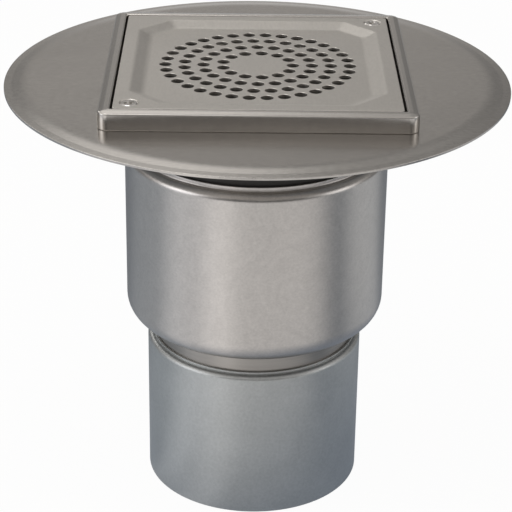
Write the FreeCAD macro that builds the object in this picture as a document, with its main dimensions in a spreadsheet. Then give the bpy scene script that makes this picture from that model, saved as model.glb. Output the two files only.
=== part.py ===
import FreeCAD, Part
import math
import os
import Sketcher

# Floor drain: a square tile frame with a dished, perforated grate stands on a round membrane flange,
# and a neck, a trap body with a bell trap inside and a vertical outlet pipe hang below it.
# Millimetres. The origin is the centre of the outlet pipe's open end, +Z is up and the front is -Y.

SIZES = {
    # Outlet pipe, turned in to a short lip at the top
    "pipe_diameter": 110.0,
    "pipe_wall": 1.2,
    "pipe_length": 78.8,
    "pipe_shoulder_radius": 2.5,
    "pipe_ledge": 0.3,
    "pipe_lip_height": 1.2,
    # Outlet neck between the outlet pipe's lip and the trap body
    "outlet_neck_wall": 1.25,
    "outlet_neck_height": 10.5,
    "outlet_neck_lap": 10.0,
    # Trap body, a drawn pot with a turned-in shoulder and a lip
    "body_diameter": 131.0,
    "body_wall": 1.25,
    "body_height": 90.9,
    "body_base_radius": 10.75,
    "body_shoulder_radius": 4.0,
    "body_ledge": 0.8,
    "body_lip_height": 2.1,
    "body_lip_fillet": 0.6,
    # Neck tube from the trap body's mouth up to the flange's top face, and the seal round it
    "neck_wall": 1.25,
    "neck_height": 35.0,
    "neck_lap": 10.0,
    "neck_seal_sheet": 2.25,
    "neck_seal_hook": 1.0,
    "neck_seal_hook_height": 2.0,
    "neck_seal_groove": 0.55,
    "neck_seal_rise": 5.5,
    # Membrane flange with a drawn collar and a stepped rim
    "flange_diameter": 246.5,
    "flange_sheet": 1.25,
    "flange_collar": 12.0,
    "flange_bend_radius": 3.0,
    "rim_band": 3.8,
    "rim_droop": 0.1,
    "rim_step_width": 3.3,
    "rim_step_drop": 0.85,
    "rim_step_radius": 23.0,
    # Tile frame, pressed from one sheet
    "frame_side": 147.0,
    "frame_height": 9.0,
    "frame_sheet": 1.5,
    "frame_rim": 5.5,
    "frame_corner_radius": 3.0,
    "frame_edge_radius": 2.0,
    "frame_inner_edge_radius": 1.2,
    "tab_setback": 2.2,
    "tab_width": 12.0,
    # Grate, pressed and perforated
    "grate_gap": 1.3,
    "grate_recess": 0.5,
    "grate_sheet": 1.5,
    "grate_corner_radius": 1.5,
    "grate_border": 6.7,
    "dish_corner_cut": 15.5,
    "dish_bevel": 6.0,
    "dish_depth": 2.4,
    "dish_edge_radius": 5.0,
    "floor_edge_radius": 9.0,
    "hole_diameter": 6.0,
    "hole_pitch": 8.31,
    "hole_margin": 5.0,
    "first_ring_holes": 13.0,
    "ring_step_holes": 7.0,
    # Grate screws and the weld nuts under the seat
    "screw_inset": 7.4,
    "screw_diameter": 5.0,
    "screw_head_diameter": 9.2,
    "screw_clearance": 0.3,
    "screw_protrusion": 0.5,
    "recess_length": 4.8,
    "recess_width": 1.2,
    "recess_depth": 1.5,
    "nut_diameter": 9.0,
    "nut_height": 3.0,
    "thread_clearance": 0.1,
    # Standpipe and its seal in the outlet hole
    "riser_setback": 12.25,
    "riser_wall": 1.2,
    "riser_drop": 23.15,
    "riser_spigot": 6.0,
    "foot_margin": 4.0,
    "seal_sheet": 2.0,
    "seal_sleeve": 4.0,
    "seal_lip": 3.0,
    # Bell with its spacers and handle
    "trap_gap": 11.3,
    "bell_wall": 1.2,
    "bell_crown_radius": 6.0,
    "crown_gap": 14.0,
    "water_seal": 50.0,
    "spacer_sheet": 1.5,
    "spacer_lap": 1.8,
    "spacer_clearance": 0.5,
    "spacer_leg": 5.0,
    "spacer_drop": 8.0,
    "spacer_count": 3.0,
    "handle_width": 60.0,
    "handle_height": 24.0,
    "handle_sheet": 1.5,
    "handle_strip": 12.0,
    "handle_foot": 10.0,
    "handle_bend_radius": 4.0,
}

# An eight-sided outline that grows by one all round has corners that move along its sides by this much.
CORNER_SHARE = "(sqrt(2) - 1)"

PLACES = {
    # Outlet pipe, upwards from its open end to its lip
    "pipe_radius": "Sizes.pipe_diameter / 2",
    "pipe_inner": "pipe_radius - Sizes.pipe_wall",
    "pipe_lip": "pipe_radius - Sizes.pipe_shoulder_radius - Sizes.pipe_ledge",
    "pipe_shoulder": "Sizes.pipe_length",
    "pipe_shoulder_under": "pipe_shoulder - Sizes.pipe_wall",
    "pipe_shoulder_radius_inner": "Sizes.pipe_shoulder_radius - Sizes.pipe_wall",
    "pipe_lip_top": "pipe_shoulder + Sizes.pipe_lip_height",
    # Outlet neck, let into the lip
    "outlet_neck_radius": "pipe_lip - Sizes.pipe_wall",
    "outlet_neck_inner": "outlet_neck_radius - Sizes.outlet_neck_wall",
    "outlet_neck_bottom": "pipe_lip_top - Sizes.outlet_neck_lap",
    "outlet_neck_length": "Sizes.outlet_neck_lap + Sizes.outlet_neck_height",
    # Trap body on the outlet neck, up to its lip
    "body_radius": "Sizes.body_diameter / 2",
    "body_inner": "body_radius - Sizes.body_wall",
    "body_bottom": "outlet_neck_bottom + outlet_neck_length",
    "body_floor": "body_bottom + Sizes.body_wall",
    "body_top": "body_bottom + Sizes.body_height",
    "body_ceiling": "body_top - Sizes.body_wall",
    "body_base_radius_inner": "Sizes.body_base_radius - Sizes.body_wall",
    "body_shoulder_radius_inner": "Sizes.body_shoulder_radius - Sizes.body_wall",
    "body_lip": "body_radius - Sizes.body_shoulder_radius - Sizes.body_ledge",
    "body_lip_top": "body_top + Sizes.body_lip_height",
    "mouth_radius": "body_lip - Sizes.body_wall",
    # Neck tube in the mouth, with the seal between them
    "neck_radius": "mouth_radius - Sizes.neck_seal_sheet",
    "neck_inner": "neck_radius - Sizes.neck_wall",
    "neck_bottom": "body_ceiling - Sizes.neck_lap",
    "seal_hook": "mouth_radius + Sizes.neck_seal_hook",
    "seal_hook_bottom": "body_ceiling - Sizes.neck_seal_hook_height",
    "seal_rim": "mouth_radius - Sizes.neck_seal_groove",
    "seal_groove": "body_lip_top - Sizes.neck_seal_groove",
    "seal_top": "body_lip_top + Sizes.neck_seal_rise",
    "seal_slope": "seal_top - (seal_rim - neck_radius)",
    # Flange, whose collar meets the neck tube
    "flange_top": "body_top + Sizes.neck_height",
    "flange_under": "flange_top - Sizes.flange_sheet",
    "collar_inner": "neck_radius - Sizes.flange_sheet",
    "collar_bottom": "flange_top - Sizes.flange_collar",
    "flange_bend_outer": "Sizes.flange_bend_radius + Sizes.flange_sheet",
    "neck_length": "collar_bottom - neck_bottom",
    "rim_radius": "Sizes.flange_diameter / 2",
    "step_outer": "rim_radius - Sizes.rim_band",
    "step_inner": "step_outer - Sizes.rim_step_width",
    "rim_top": "flange_top - Sizes.rim_step_drop",
    "rim_under": "rim_top - Sizes.flange_sheet",
    "rim_edge_top": "rim_top - Sizes.rim_droop",
    "rim_edge_under": "rim_edge_top - Sizes.flange_sheet",
    # Frame on the flange, with the grate's seat sunk below its rim
    "frame_half": "Sizes.frame_side / 2",
    "frame_inner_half": "frame_half - Sizes.frame_sheet",
    "frame_inner_corner": "Sizes.frame_corner_radius - Sizes.frame_sheet",
    "opening_half": "frame_half - Sizes.frame_rim",
    "channel_half": "opening_half + Sizes.frame_sheet",
    "tab_outer": "opening_half - Sizes.tab_setback",
    "tab_inner": "tab_outer - Sizes.tab_width",
    "frame_top": "flange_top + Sizes.frame_height",
    "grate_top": "frame_top - Sizes.grate_recess",
    "seat": "grate_top - Sizes.grate_sheet",
    "seat_under": "seat - Sizes.frame_sheet",
    "seat_depth": "frame_top - seat",
    "skirt_height": "seat_under - flange_top",
    # Grate and its dish, whose underside follows the top at the sheet's thickness
    "grate_half": "opening_half - Sizes.grate_gap",
    "dish_half": "grate_half - Sizes.grate_border",
    "dish_corner": "dish_half - Sizes.dish_corner_cut",
    "dish_floor": "grate_top - Sizes.dish_depth",
    "dish_under": "dish_floor - Sizes.grate_sheet",
    "floor_half": "dish_half - Sizes.dish_bevel",
    "floor_corner": f"dish_corner - Sizes.dish_bevel * {CORNER_SHARE}",
    "sheet_shift": "Sizes.grate_sheet * tan(atan(Sizes.dish_depth / Sizes.dish_bevel) / 2)",
    "pan_half": "dish_half + sheet_shift",
    "pan_corner": f"dish_corner + sheet_shift * {CORNER_SHARE}",
    "pan_floor_half": "floor_half + sheet_shift",
    "pan_floor_corner": f"floor_corner + sheet_shift * {CORNER_SHARE}",
    "pan_edge_radius": "Sizes.dish_edge_radius - Sizes.grate_sheet",
    "pan_floor_edge_radius": "Sizes.floor_edge_radius + Sizes.grate_sheet",
    # Screws, with 90 degree heads that pass through the sheet into the seat's holes
    "screw_offset": "grate_half - Sizes.screw_inset",
    "screw_radius": "Sizes.screw_diameter / 2",
    "screw_head_radius": "Sizes.screw_head_diameter / 2",
    "screw_cone_end": "grate_top - (screw_head_radius - screw_radius)",
    "seat_hole": "max(Sizes.screw_head_diameter - 2 * Sizes.grate_sheet; Sizes.screw_diameter)"
                 " + Sizes.screw_clearance",
    "nut_bottom": "seat_under - Sizes.nut_height",
    "nut_bore": "Sizes.screw_diameter + Sizes.thread_clearance",
    "screw_tip": "nut_bottom - Sizes.screw_protrusion",
    "recess_half_length": "Sizes.recess_length / 2",
    "recess_half_width": "Sizes.recess_width / 2",
    # Standpipe through the base, standing on its seal
    "riser_radius": "outlet_neck_inner - Sizes.riser_setback",
    "riser_inner": "riser_radius - Sizes.riser_wall",
    "riser_top": "body_top - Sizes.riser_drop",
    "riser_bottom": "body_bottom - Sizes.riser_spigot",
    "outlet_hole": "riser_radius + Sizes.seal_sleeve",
    "foot_radius": "outlet_neck_radius - Sizes.foot_margin",
    "foot_under": "body_floor + Sizes.seal_sheet",
    "foot_top": "foot_under + Sizes.riser_wall",
    "seal_bottom": "body_bottom - Sizes.seal_lip",
    # Bell over the standpipe
    "bell_inner": "riser_radius + Sizes.trap_gap",
    "bell_radius": "bell_inner + Sizes.bell_wall",
    "bell_crown_radius_inner": "Sizes.bell_crown_radius - Sizes.bell_wall",
    "crown_under": "riser_top + Sizes.crown_gap",
    "crown_top": "crown_under + Sizes.bell_wall",
    "skirt_bottom": "riser_top - Sizes.water_seal",
    "spacer_inner": "riser_inner - Sizes.spacer_lap",
    "spacer_leg_inner": "riser_radius + Sizes.spacer_clearance",
    "spacer_outer": "spacer_leg_inner + Sizes.spacer_leg",
    "spacer_bottom": "riser_top - Sizes.spacer_drop",
    "handle_half": "Sizes.handle_width / 2",
    "handle_inner": "handle_half - Sizes.handle_sheet",
    "handle_end": "handle_half + Sizes.handle_foot",
    "handle_foot_top": "crown_top + Sizes.handle_sheet",
    "handle_top": "crown_top + Sizes.handle_height",
    "handle_top_under": "handle_top - Sizes.handle_sheet",
    "handle_bend_inner": "Sizes.handle_bend_radius - Sizes.handle_sheet",
}

TOLERANCE = 1e-4

doc = FreeCAD.newDocument("floor_drain")


def fill_sheet(name, rows):
    """Make a sheet with a name beside each aliased cell."""
    sheet = doc.addObject("Spreadsheet::Sheet", name)
    for row, (alias, content) in enumerate(rows.items(), start=1):
        sheet.set(f"A{row}", alias)
        sheet.set(f"B{row}", content)
        sheet.setAlias(f"B{row}", alias)
    doc.recompute()
    return sheet


sizes = fill_sheet("Sizes", {alias: str(number) for alias, number in SIZES.items()})
places = fill_sheet("Places", {alias: f"={formula}" for alias, formula in PLACES.items()})


def value(expression):
    """Work out an expression of sheet cells as a plain number."""
    result = places.evalExpression(expression)
    return float(getattr(result, "Value", result))


# Sketches

def new_body(label):
    """Start a sub-part. Its label names its file."""
    body = doc.addObject("PartDesign::Body", label)
    body.Label = label
    return body


def origin_feature(body, role):
    """Find one of a body's own origin planes or axes."""
    return next(feature for feature in body.Origin.OriginFeatures if feature.Role == role)


def sketch_on(body, role, name, height=None, x=None, y=None):
    """Attach a sketch to an origin plane, moved along its normal by height and in its own plane by x and y."""
    sketch = body.newObject("Sketcher::SketchObject", name)
    sketch.AttachmentSupport = [(origin_feature(body, role), "")]
    sketch.MapMode = "FlatFace"
    for axis, expression in (("x", x), ("y", y), ("z", height)):
        if expression:
            sketch.setExpression(f"AttachmentOffset.Base.{axis}", expression)
    return sketch


def pin(sketch, edge, point, x, y):
    """Tie a point of an edge to expressions for its two coordinates. A leading minus mirrors one."""
    for kind, axis, expression in (("DistanceX", -2, x), ("DistanceY", -1, y)):
        if expression == "0":
            sketch.addConstraint(Sketcher.Constraint("PointOnObject", edge, point, axis))
            continue
        ends = (-1, 1, edge, point)
        if expression.startswith("-"):
            ends = (edge, point, -1, 1)
            expression = expression[1:]
        index = sketch.addConstraint(Sketcher.Constraint(kind, *ends, value(expression)))
        sketch.setExpression(f"Constraints[{index}]", expression)


def outline(sketch, corners):
    """Draw a closed outline of straight edges through corners that are pairs of expressions."""
    points = [FreeCAD.Vector(value(x), value(y), 0) for x, y in corners]
    ends = points[1:] + points[:1]
    edges = [sketch.addGeometry(Part.LineSegment(start, end)) for start, end in zip(points, ends)]
    for before, edge in zip(edges[-1:] + edges[:-1], edges):
        sketch.addConstraint(Sketcher.Constraint("Coincident", before, 2, edge, 1))
    for edge, (x, y) in zip(edges, corners):
        pin(sketch, edge, 1, x, y)


def square(sketch, half):
    """Draw a square round the sketch's origin."""
    outline(sketch, [(half, half), (f"-{half}", half), (f"-{half}", f"-{half}"), (half, f"-{half}")])


def tabbed_square(sketch, half, outer, inner):
    """Draw a square that leaves out two tabs at its front and two at its back. Each tab runs from outer to
    inner along the side, and ends at inner."""
    outline(sketch, [
        (f"-{half}", f"-{half}"),
        (f"-{outer}", f"-{half}"),
        (f"-{outer}", f"-{inner}"),
        (f"-{inner}", f"-{inner}"),
        (f"-{inner}", f"-{half}"),
        (inner, f"-{half}"),
        (inner, f"-{inner}"),
        (outer, f"-{inner}"),
        (outer, f"-{half}"),
        (half, f"-{half}"),
        (half, half),
        (outer, half),
        (outer, inner),
        (inner, inner),
        (inner, half),
        (f"-{inner}", half),
        (f"-{inner}", inner),
        (f"-{outer}", inner),
        (f"-{outer}", half),
        (f"-{half}", half),
    ])


def octagon(sketch, half, corner):
    """Draw a square with cut corners: its sides lie at half, and end at corner."""
    outline(sketch, [
        (half, corner),
        (corner, half),
        (f"-{corner}", half),
        (f"-{half}", corner),
        (f"-{half}", f"-{corner}"),
        (f"-{corner}", f"-{half}"),
        (corner, f"-{half}"),
        (half, f"-{corner}"),
    ])


def circle(sketch, diameter, x="0", y="0"):
    """Draw a circle of the given diameter."""
    centre = FreeCAD.Vector(value(x), value(y), 0)
    edge = sketch.addGeometry(Part.Circle(centre, FreeCAD.Vector(0, 0, 1), value(diameter) / 2))
    pin(sketch, edge, 3, x, y)
    index = sketch.addConstraint(Sketcher.Constraint("Diameter", edge, value(diameter)))
    sketch.setExpression(f"Constraints[{index}]", diameter)


# Features

def turn(body, section):
    """Turn a section round its own upright axis."""
    feature = body.newObject("PartDesign::Revolution", f"{section.Name}_turn")
    feature.Profile = section
    feature.ReferenceAxis = (section, ["V_Axis"])
    feature.Angle = 360
    return feature


def revolve(body, name, corners):
    """Turn a section of (radius, height) corners round Z."""
    section = sketch_on(body, "XZ_Plane", f"{name}_section")
    outline(section, corners)
    turn(body, section)


def pad(body, sketch, length, symmetric=False):
    """Raise a sketch along its normal."""
    feature = body.newObject("PartDesign::Pad", f"{sketch.Name}_pad")
    feature.Profile = sketch
    feature.setExpression("Length", length)
    if symmetric:
        feature.SideType = "Symmetric"
    return feature


def pocket(body, sketch, length=None, upward=False):
    """Cut a sketch into the body, right through where no length is given, and check that it cut."""
    doc.recompute()
    before = body.Shape.Volume
    feature = body.newObject("PartDesign::Pocket", f"{sketch.Name}_cut")
    feature.Profile = sketch
    feature.Reversed = upward
    if length:
        feature.setExpression("Length", length)
    else:
        feature.Type = "ThroughAll"
    doc.recompute()
    if body.Shape.Volume > before - TOLERANCE:
        raise RuntimeError(f"{feature.Name} cuts nothing")
    return feature


def spread(body, features, count):
    """Repeat features evenly round Z."""
    pattern = body.newObject("PartDesign::PolarPattern", f"{features[0].Name}_ring")
    pattern.Originals = features
    pattern.Axis = (origin_feature(body, "Z_Axis"), [""])
    pattern.Angle = 360
    pattern.Occurrences = count
    body.Tip = pattern


def round_off(body, radius, test):
    """Fillet the body's edges that pass a test."""
    doc.recompute()
    base = body.Tip
    edges = [f"Edge{number}" for number, edge in enumerate(base.Shape.Edges, start=1) if test(edge)]
    if not edges:
        raise RuntimeError(f"{body.Label} has no edge for {radius}")
    feature = body.newObject("PartDesign::Fillet", f"{body.Name}_round")
    feature.Base = (base, edges)
    feature.setExpression("Radius", radius)


def rings(*wanted):
    """Test for circles round Z at (radius, height) pairs."""
    found = [(value(radius), value(height)) for radius, height in wanted]

    def test(edge):
        if not isinstance(edge.Curve, Part.Circle):
            return False
        place = (edge.Curve.Radius, edge.Curve.Center.z)
        return any(math.dist(place, ring) < TOLERANCE for ring in found)

    return test


def upright(half):
    """Test for edges along Z at the corners of a square."""
    side = value(half)

    def test(edge):
        box = edge.BoundBox
        level = box.ZLength < TOLERANCE
        corner = (abs(box.XMin), abs(box.XMax), abs(box.YMin), abs(box.YMax))
        return not level and all(abs(distance - side) < TOLERANCE for distance in corner)

    return test


def level(height, half):
    """Test for edges that lie at a height and reach a square's side without passing it."""
    top = value(height)
    side = value(half)

    def test(edge):
        box = edge.BoundBox
        reach = max(abs(box.XMin), abs(box.XMax), abs(box.YMin), abs(box.YMax))
        flat = abs(box.ZMin - top) < TOLERANCE and abs(box.ZMax - top) < TOLERANCE
        return flat and abs(reach - side) < TOLERANCE

    return test


def bends(*wanted):
    """Test for edges along Y at (x, z) pairs, on both sides of the middle."""
    found = [(value(x), value(z)) for x, z in wanted]

    def test(edge):
        box = edge.BoundBox
        along = box.XLength < TOLERANCE and box.ZLength < TOLERANCE
        place = (abs(box.XMin), box.ZMin)
        return along and any(math.dist(place, bend) < TOLERANCE for bend in found)

    return test


# Shells

def make_outlet_pipe():
    """Pipe with a turned-in shoulder that ends in a short lip."""
    body = new_body("outlet_pipe")
    revolve(body, "pipe", [
        ("Places.pipe_radius", "0"),
        ("Places.pipe_radius", "Places.pipe_shoulder"),
        ("Places.pipe_lip", "Places.pipe_shoulder"),
        ("Places.pipe_lip", "Places.pipe_lip_top"),
        ("Places.outlet_neck_radius", "Places.pipe_lip_top"),
        ("Places.outlet_neck_radius", "Places.pipe_shoulder_under"),
        ("Places.pipe_inner", "Places.pipe_shoulder_under"),
        ("Places.pipe_inner", "0"),
    ])
    round_off(body, "Sizes.pipe_shoulder_radius", rings(("Places.pipe_radius", "Places.pipe_shoulder")))
    round_off(body, "Places.pipe_shoulder_radius_inner",
              rings(("Places.pipe_inner", "Places.pipe_shoulder_under")))
    return body


def make_outlet_neck():
    """Tube let into the outlet pipe's lip, up to the underside of the trap body."""
    body = new_body("outlet_neck")
    sketch = sketch_on(body, "XY_Plane", "outlet_neck_ring", "Places.outlet_neck_bottom")
    circle(sketch, "2 * Places.outlet_neck_radius")
    circle(sketch, "2 * Places.outlet_neck_inner")
    pad(body, sketch, "Places.outlet_neck_length")
    return body


def make_trap_body():
    """Drawn pot: rounded base with the outlet hole, straight wall, turned-in shoulder and lip."""
    body = new_body("trap_body")
    revolve(body, "pot", [
        ("Places.outlet_hole", "Places.body_bottom"),
        ("Places.body_radius", "Places.body_bottom"),
        ("Places.body_radius", "Places.body_top"),
        ("Places.body_lip", "Places.body_top"),
        ("Places.body_lip", "Places.body_lip_top"),
        ("Places.mouth_radius", "Places.body_lip_top"),
        ("Places.mouth_radius", "Places.body_ceiling"),
        ("Places.body_inner", "Places.body_ceiling"),
        ("Places.body_inner", "Places.body_floor"),
        ("Places.outlet_hole", "Places.body_floor"),
    ])
    round_off(body, "Sizes.body_base_radius", rings(("Places.body_radius", "Places.body_bottom")))
    round_off(body, "Places.body_base_radius_inner", rings(("Places.body_inner", "Places.body_floor")))
    round_off(body, "Sizes.body_shoulder_radius", rings(("Places.body_radius", "Places.body_top")))
    round_off(body, "Places.body_shoulder_radius_inner",
              rings(("Places.body_inner", "Places.body_ceiling")))
    round_off(body, "Sizes.body_lip_fillet", rings(("Places.body_lip", "Places.body_top")))
    return body


def make_neck_tube():
    """Tube pushed into the trap body's mouth, up to the flange's collar."""
    body = new_body("neck_tube")
    sketch = sketch_on(body, "XY_Plane", "neck_ring", "Places.neck_bottom")
    circle(sketch, "2 * Places.neck_radius")
    circle(sketch, "2 * Places.neck_inner")
    pad(body, sketch, "Places.neck_length")
    return body


def make_neck_seal():
    """Rubber ring round the neck tube: a hook under the mouth, a groove at the lip and a sloped collar."""
    body = new_body("neck_seal")
    revolve(body, "neck_seal", [
        ("Places.neck_radius", "Places.seal_hook_bottom"),
        ("Places.seal_hook", "Places.seal_hook_bottom"),
        ("Places.seal_hook", "Places.body_ceiling"),
        ("Places.mouth_radius", "Places.body_ceiling"),
        ("Places.mouth_radius", "Places.seal_groove"),
        ("Places.seal_rim", "Places.seal_groove"),
        ("Places.seal_rim", "Places.seal_slope"),
        ("Places.neck_radius", "Places.seal_top"),
    ])
    return body


def make_flange():
    """Round sheet with its middle drawn down to a collar and its rim stepped down."""
    body = new_body("flange")
    revolve(body, "flange", [
        ("Places.collar_inner", "Places.collar_bottom"),
        ("Places.collar_inner", "Places.flange_top"),
        ("Places.step_inner", "Places.flange_top"),
        ("Places.step_outer", "Places.rim_top"),
        ("Places.rim_radius", "Places.rim_edge_top"),
        ("Places.rim_radius", "Places.rim_edge_under"),
        ("Places.step_outer", "Places.rim_under"),
        ("Places.step_inner", "Places.flange_under"),
        ("Places.neck_radius", "Places.flange_under"),
        ("Places.neck_radius", "Places.collar_bottom"),
    ])
    round_off(body, "Places.flange_bend_outer", rings(("Places.collar_inner", "Places.flange_top")))
    round_off(body, "Sizes.flange_bend_radius", rings(("Places.neck_radius", "Places.flange_under")))
    round_off(body, "Sizes.rim_step_radius", rings(
        ("Places.step_inner", "Places.flange_top"),
        ("Places.step_inner", "Places.flange_under"),
    ))
    return body


# Frame and grate

def make_frame():
    """Pressed frame: skirt on the flange, rounded rim, and two tabs at the front and two at the back that
    carry the grate."""
    body = new_body("frame")
    block = sketch_on(body, "XY_Plane", "frame_block", "Places.flange_top")
    square(block, "Places.frame_half")
    pad(body, block, "Sizes.frame_height")
    round_off(body, "Sizes.frame_corner_radius", upright("Places.frame_half"))
    round_off(body, "Sizes.frame_edge_radius", level("Places.frame_top", "Places.frame_half"))

    recess = sketch_on(body, "XY_Plane", "grate_recess", "Places.frame_top")
    square(recess, "Places.opening_half")
    pocket(body, recess, "Places.seat_depth")
    round_off(body, "Sizes.frame_inner_edge_radius", level("Places.frame_top", "Places.opening_half"))

    hollow = sketch_on(body, "XY_Plane", "skirt_hollow", "Places.flange_top")
    square(hollow, "Places.frame_inner_half")
    pocket(body, hollow, "Places.skirt_height", upward=True)
    channel = sketch_on(body, "XY_Plane", "rim_channel", "Places.seat_under")
    square(channel, "Places.frame_inner_half")
    square(channel, "Places.channel_half")
    pocket(body, channel, "Places.seat_depth", upward=True)
    round_off(body, "Places.frame_inner_corner", upright("Places.frame_inner_half"))

    opening = sketch_on(body, "XY_Plane", "seat_opening", "Places.seat")
    tabbed_square(opening, "Places.opening_half", "Places.tab_outer", "Places.tab_inner")
    pocket(body, opening)
    screw_holes = sketch_on(body, "XY_Plane", "seat_screw_holes", "Places.seat")
    circle(screw_holes, "Places.seat_hole", "Places.screw_offset", "Places.screw_offset")
    circle(screw_holes, "Places.seat_hole", "-Places.screw_offset", "-Places.screw_offset")
    pocket(body, screw_holes)
    return body


def loft(body, kind, name, sections):
    """Join two eight-sided sketches, given as (half, corner, height), by straight faces."""
    sketches = []
    for number, (half, corner, height) in enumerate(sections, start=1):
        sketch = sketch_on(body, "XY_Plane", f"{name}_{number}", height)
        octagon(sketch, half, corner)
        sketches.append(sketch)
    feature = body.newObject(f"PartDesign::{kind}", name)
    feature.Profile = sketches[0]
    feature.Sections = sketches[1:]
    feature.Ruled = True


def perforate(body):
    """Punch rings of holes at one pitch, as many rings as the dish's floor has room for."""
    count = round(value("Sizes.first_ring_holes"))
    ring = 1
    while count * value("Sizes.hole_pitch") / (2 * math.pi) < value(
            "Places.floor_half - Sizes.hole_margin - Sizes.hole_diameter / 2"):
        sketch = sketch_on(body, "XY_Plane", f"hole_ring_{ring}", "Places.dish_floor")
        circle(sketch, "Sizes.hole_diameter", f"{count} * Sizes.hole_pitch / (2 * pi)")
        hole = pocket(body, sketch)
        spread(body, [hole], count)
        count += round(value("Sizes.ring_step_holes"))
        ring += 1


def make_grate():
    """Pressed square sheet with a dished eight-sided field, rings of holes and two countersunk corners."""
    body = new_body("grate")
    plate = sketch_on(body, "XY_Plane", "grate_plate", "Places.seat")
    square(plate, "Places.grate_half")
    pad(body, plate, "Sizes.grate_sheet")
    round_off(body, "Sizes.grate_corner_radius", upright("Places.grate_half"))
    loft(body, "AdditiveLoft", "dish_underside", [
        ("Places.pan_half", "Places.pan_corner", "Places.seat"),
        ("Places.pan_floor_half", "Places.pan_floor_corner", "Places.dish_under"),
    ])
    loft(body, "SubtractiveLoft", "dish_topside", [
        ("Places.dish_half", "Places.dish_corner", "Places.grate_top"),
        ("Places.floor_half", "Places.floor_corner", "Places.dish_floor"),
    ])
    round_off(body, "Sizes.dish_edge_radius", level("Places.grate_top", "Places.dish_half"))
    round_off(body, "Places.pan_edge_radius", level("Places.seat", "Places.pan_half"))
    round_off(body, "Sizes.floor_edge_radius", level("Places.dish_floor", "Places.floor_half"))
    round_off(body, "Places.pan_floor_edge_radius", level("Places.dish_under", "Places.pan_floor_half"))
    perforate(body)

    screw_holes = sketch_on(body, "XY_Plane", "grate_screw_holes", "Places.grate_top")
    circle(screw_holes, "Sizes.screw_diameter", "Places.screw_offset", "Places.screw_offset")
    circle(screw_holes, "Sizes.screw_diameter", "-Places.screw_offset", "-Places.screw_offset")
    doc.recompute()
    countersink = body.newObject("PartDesign::Hole", "countersinks")
    countersink.Profile = screw_holes
    countersink.DepthType = "ThroughAll"
    countersink.HoleCutType = "Countersink"
    countersink.HoleCutCustomValues = True
    countersink.HoleCutCountersinkAngle = 90
    countersink.setExpression("Diameter", "Sizes.screw_diameter")
    countersink.setExpression("HoleCutDiameter", "Sizes.screw_head_diameter")
    return body


def make_grate_screws():
    """Two countersunk screws with cross recesses, one solid each."""
    body = new_body("grate_screws")
    body.AllowCompound = True
    section = sketch_on(body, "XZ_Plane", "screw_section", "-Places.screw_offset", "Places.screw_offset")
    outline(section, [
        ("0", "Places.grate_top"),
        ("0", "Places.screw_tip"),
        ("Places.screw_radius", "Places.screw_tip"),
        ("Places.screw_radius", "Places.screw_cone_end"),
        ("Places.screw_head_radius", "Places.grate_top"),
    ])
    screw = turn(body, section)
    cross = sketch_on(body, "XY_Plane", "cross_recess", "Places.grate_top",
                      "Places.screw_offset", "Places.screw_offset")
    long, short = "Places.recess_half_length", "Places.recess_half_width"
    outline(cross, [
        (short, long),
        (f"-{short}", long),
        (f"-{short}", short),
        (f"-{long}", short),
        (f"-{long}", f"-{short}"),
        (f"-{short}", f"-{short}"),
        (f"-{short}", f"-{long}"),
        (short, f"-{long}"),
        (short, f"-{short}"),
        (long, f"-{short}"),
        (long, short),
        (short, short),
    ])
    recess = pocket(body, cross, "Sizes.recess_depth")
    spread(body, [screw, recess], 2)
    return body


def make_weld_nuts():
    """Two round weld nuts under the seat's screw holes, one solid each."""
    body = new_body("weld_nuts")
    body.AllowCompound = True
    sketch = sketch_on(body, "XY_Plane", "nut_ring", "Places.nut_bottom",
                       "Places.screw_offset", "Places.screw_offset")
    circle(sketch, "Sizes.nut_diameter")
    circle(sketch, "Places.nut_bore")
    nut = pad(body, sketch, "Sizes.nut_height")
    spread(body, [nut], 2)
    return body


# Water trap

def make_standpipe():
    """Overflow pipe with a foot ring that stands on the seal, and a spigot down into the outlet."""
    body = new_body("standpipe")
    revolve(body, "riser", [
        ("Places.riser_inner", "Places.riser_bottom"),
        ("Places.riser_inner", "Places.riser_top"),
        ("Places.riser_radius", "Places.riser_top"),
        ("Places.riser_radius", "Places.foot_top"),
        ("Places.foot_radius", "Places.foot_top"),
        ("Places.foot_radius", "Places.foot_under"),
        ("Places.riser_radius", "Places.foot_under"),
        ("Places.riser_radius", "Places.riser_bottom"),
    ])
    return body


def make_standpipe_seal():
    """Rubber ring: a flat under the standpipe's foot and a sleeve that fills the outlet hole."""
    body = new_body("standpipe_seal")
    revolve(body, "seal", [
        ("Places.riser_radius", "Places.seal_bottom"),
        ("Places.riser_radius", "Places.foot_under"),
        ("Places.foot_radius", "Places.foot_under"),
        ("Places.foot_radius", "Places.body_floor"),
        ("Places.outlet_hole", "Places.body_floor"),
        ("Places.outlet_hole", "Places.seal_bottom"),
    ])
    return body


def make_bell():
    """Inverted cup whose skirt dips below the standpipe's rim."""
    body = new_body("bell")
    revolve(body, "bell", [
        ("Places.bell_radius", "Places.skirt_bottom"),
        ("Places.bell_radius", "Places.crown_top"),
        ("0", "Places.crown_top"),
        ("0", "Places.crown_under"),
        ("Places.bell_inner", "Places.crown_under"),
        ("Places.bell_inner", "Places.skirt_bottom"),
    ])
    round_off(body, "Sizes.bell_crown_radius", rings(("Places.bell_radius", "Places.crown_top")))
    round_off(body, "Places.bell_crown_radius_inner", rings(("Places.bell_inner", "Places.crown_under")))
    return body


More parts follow.
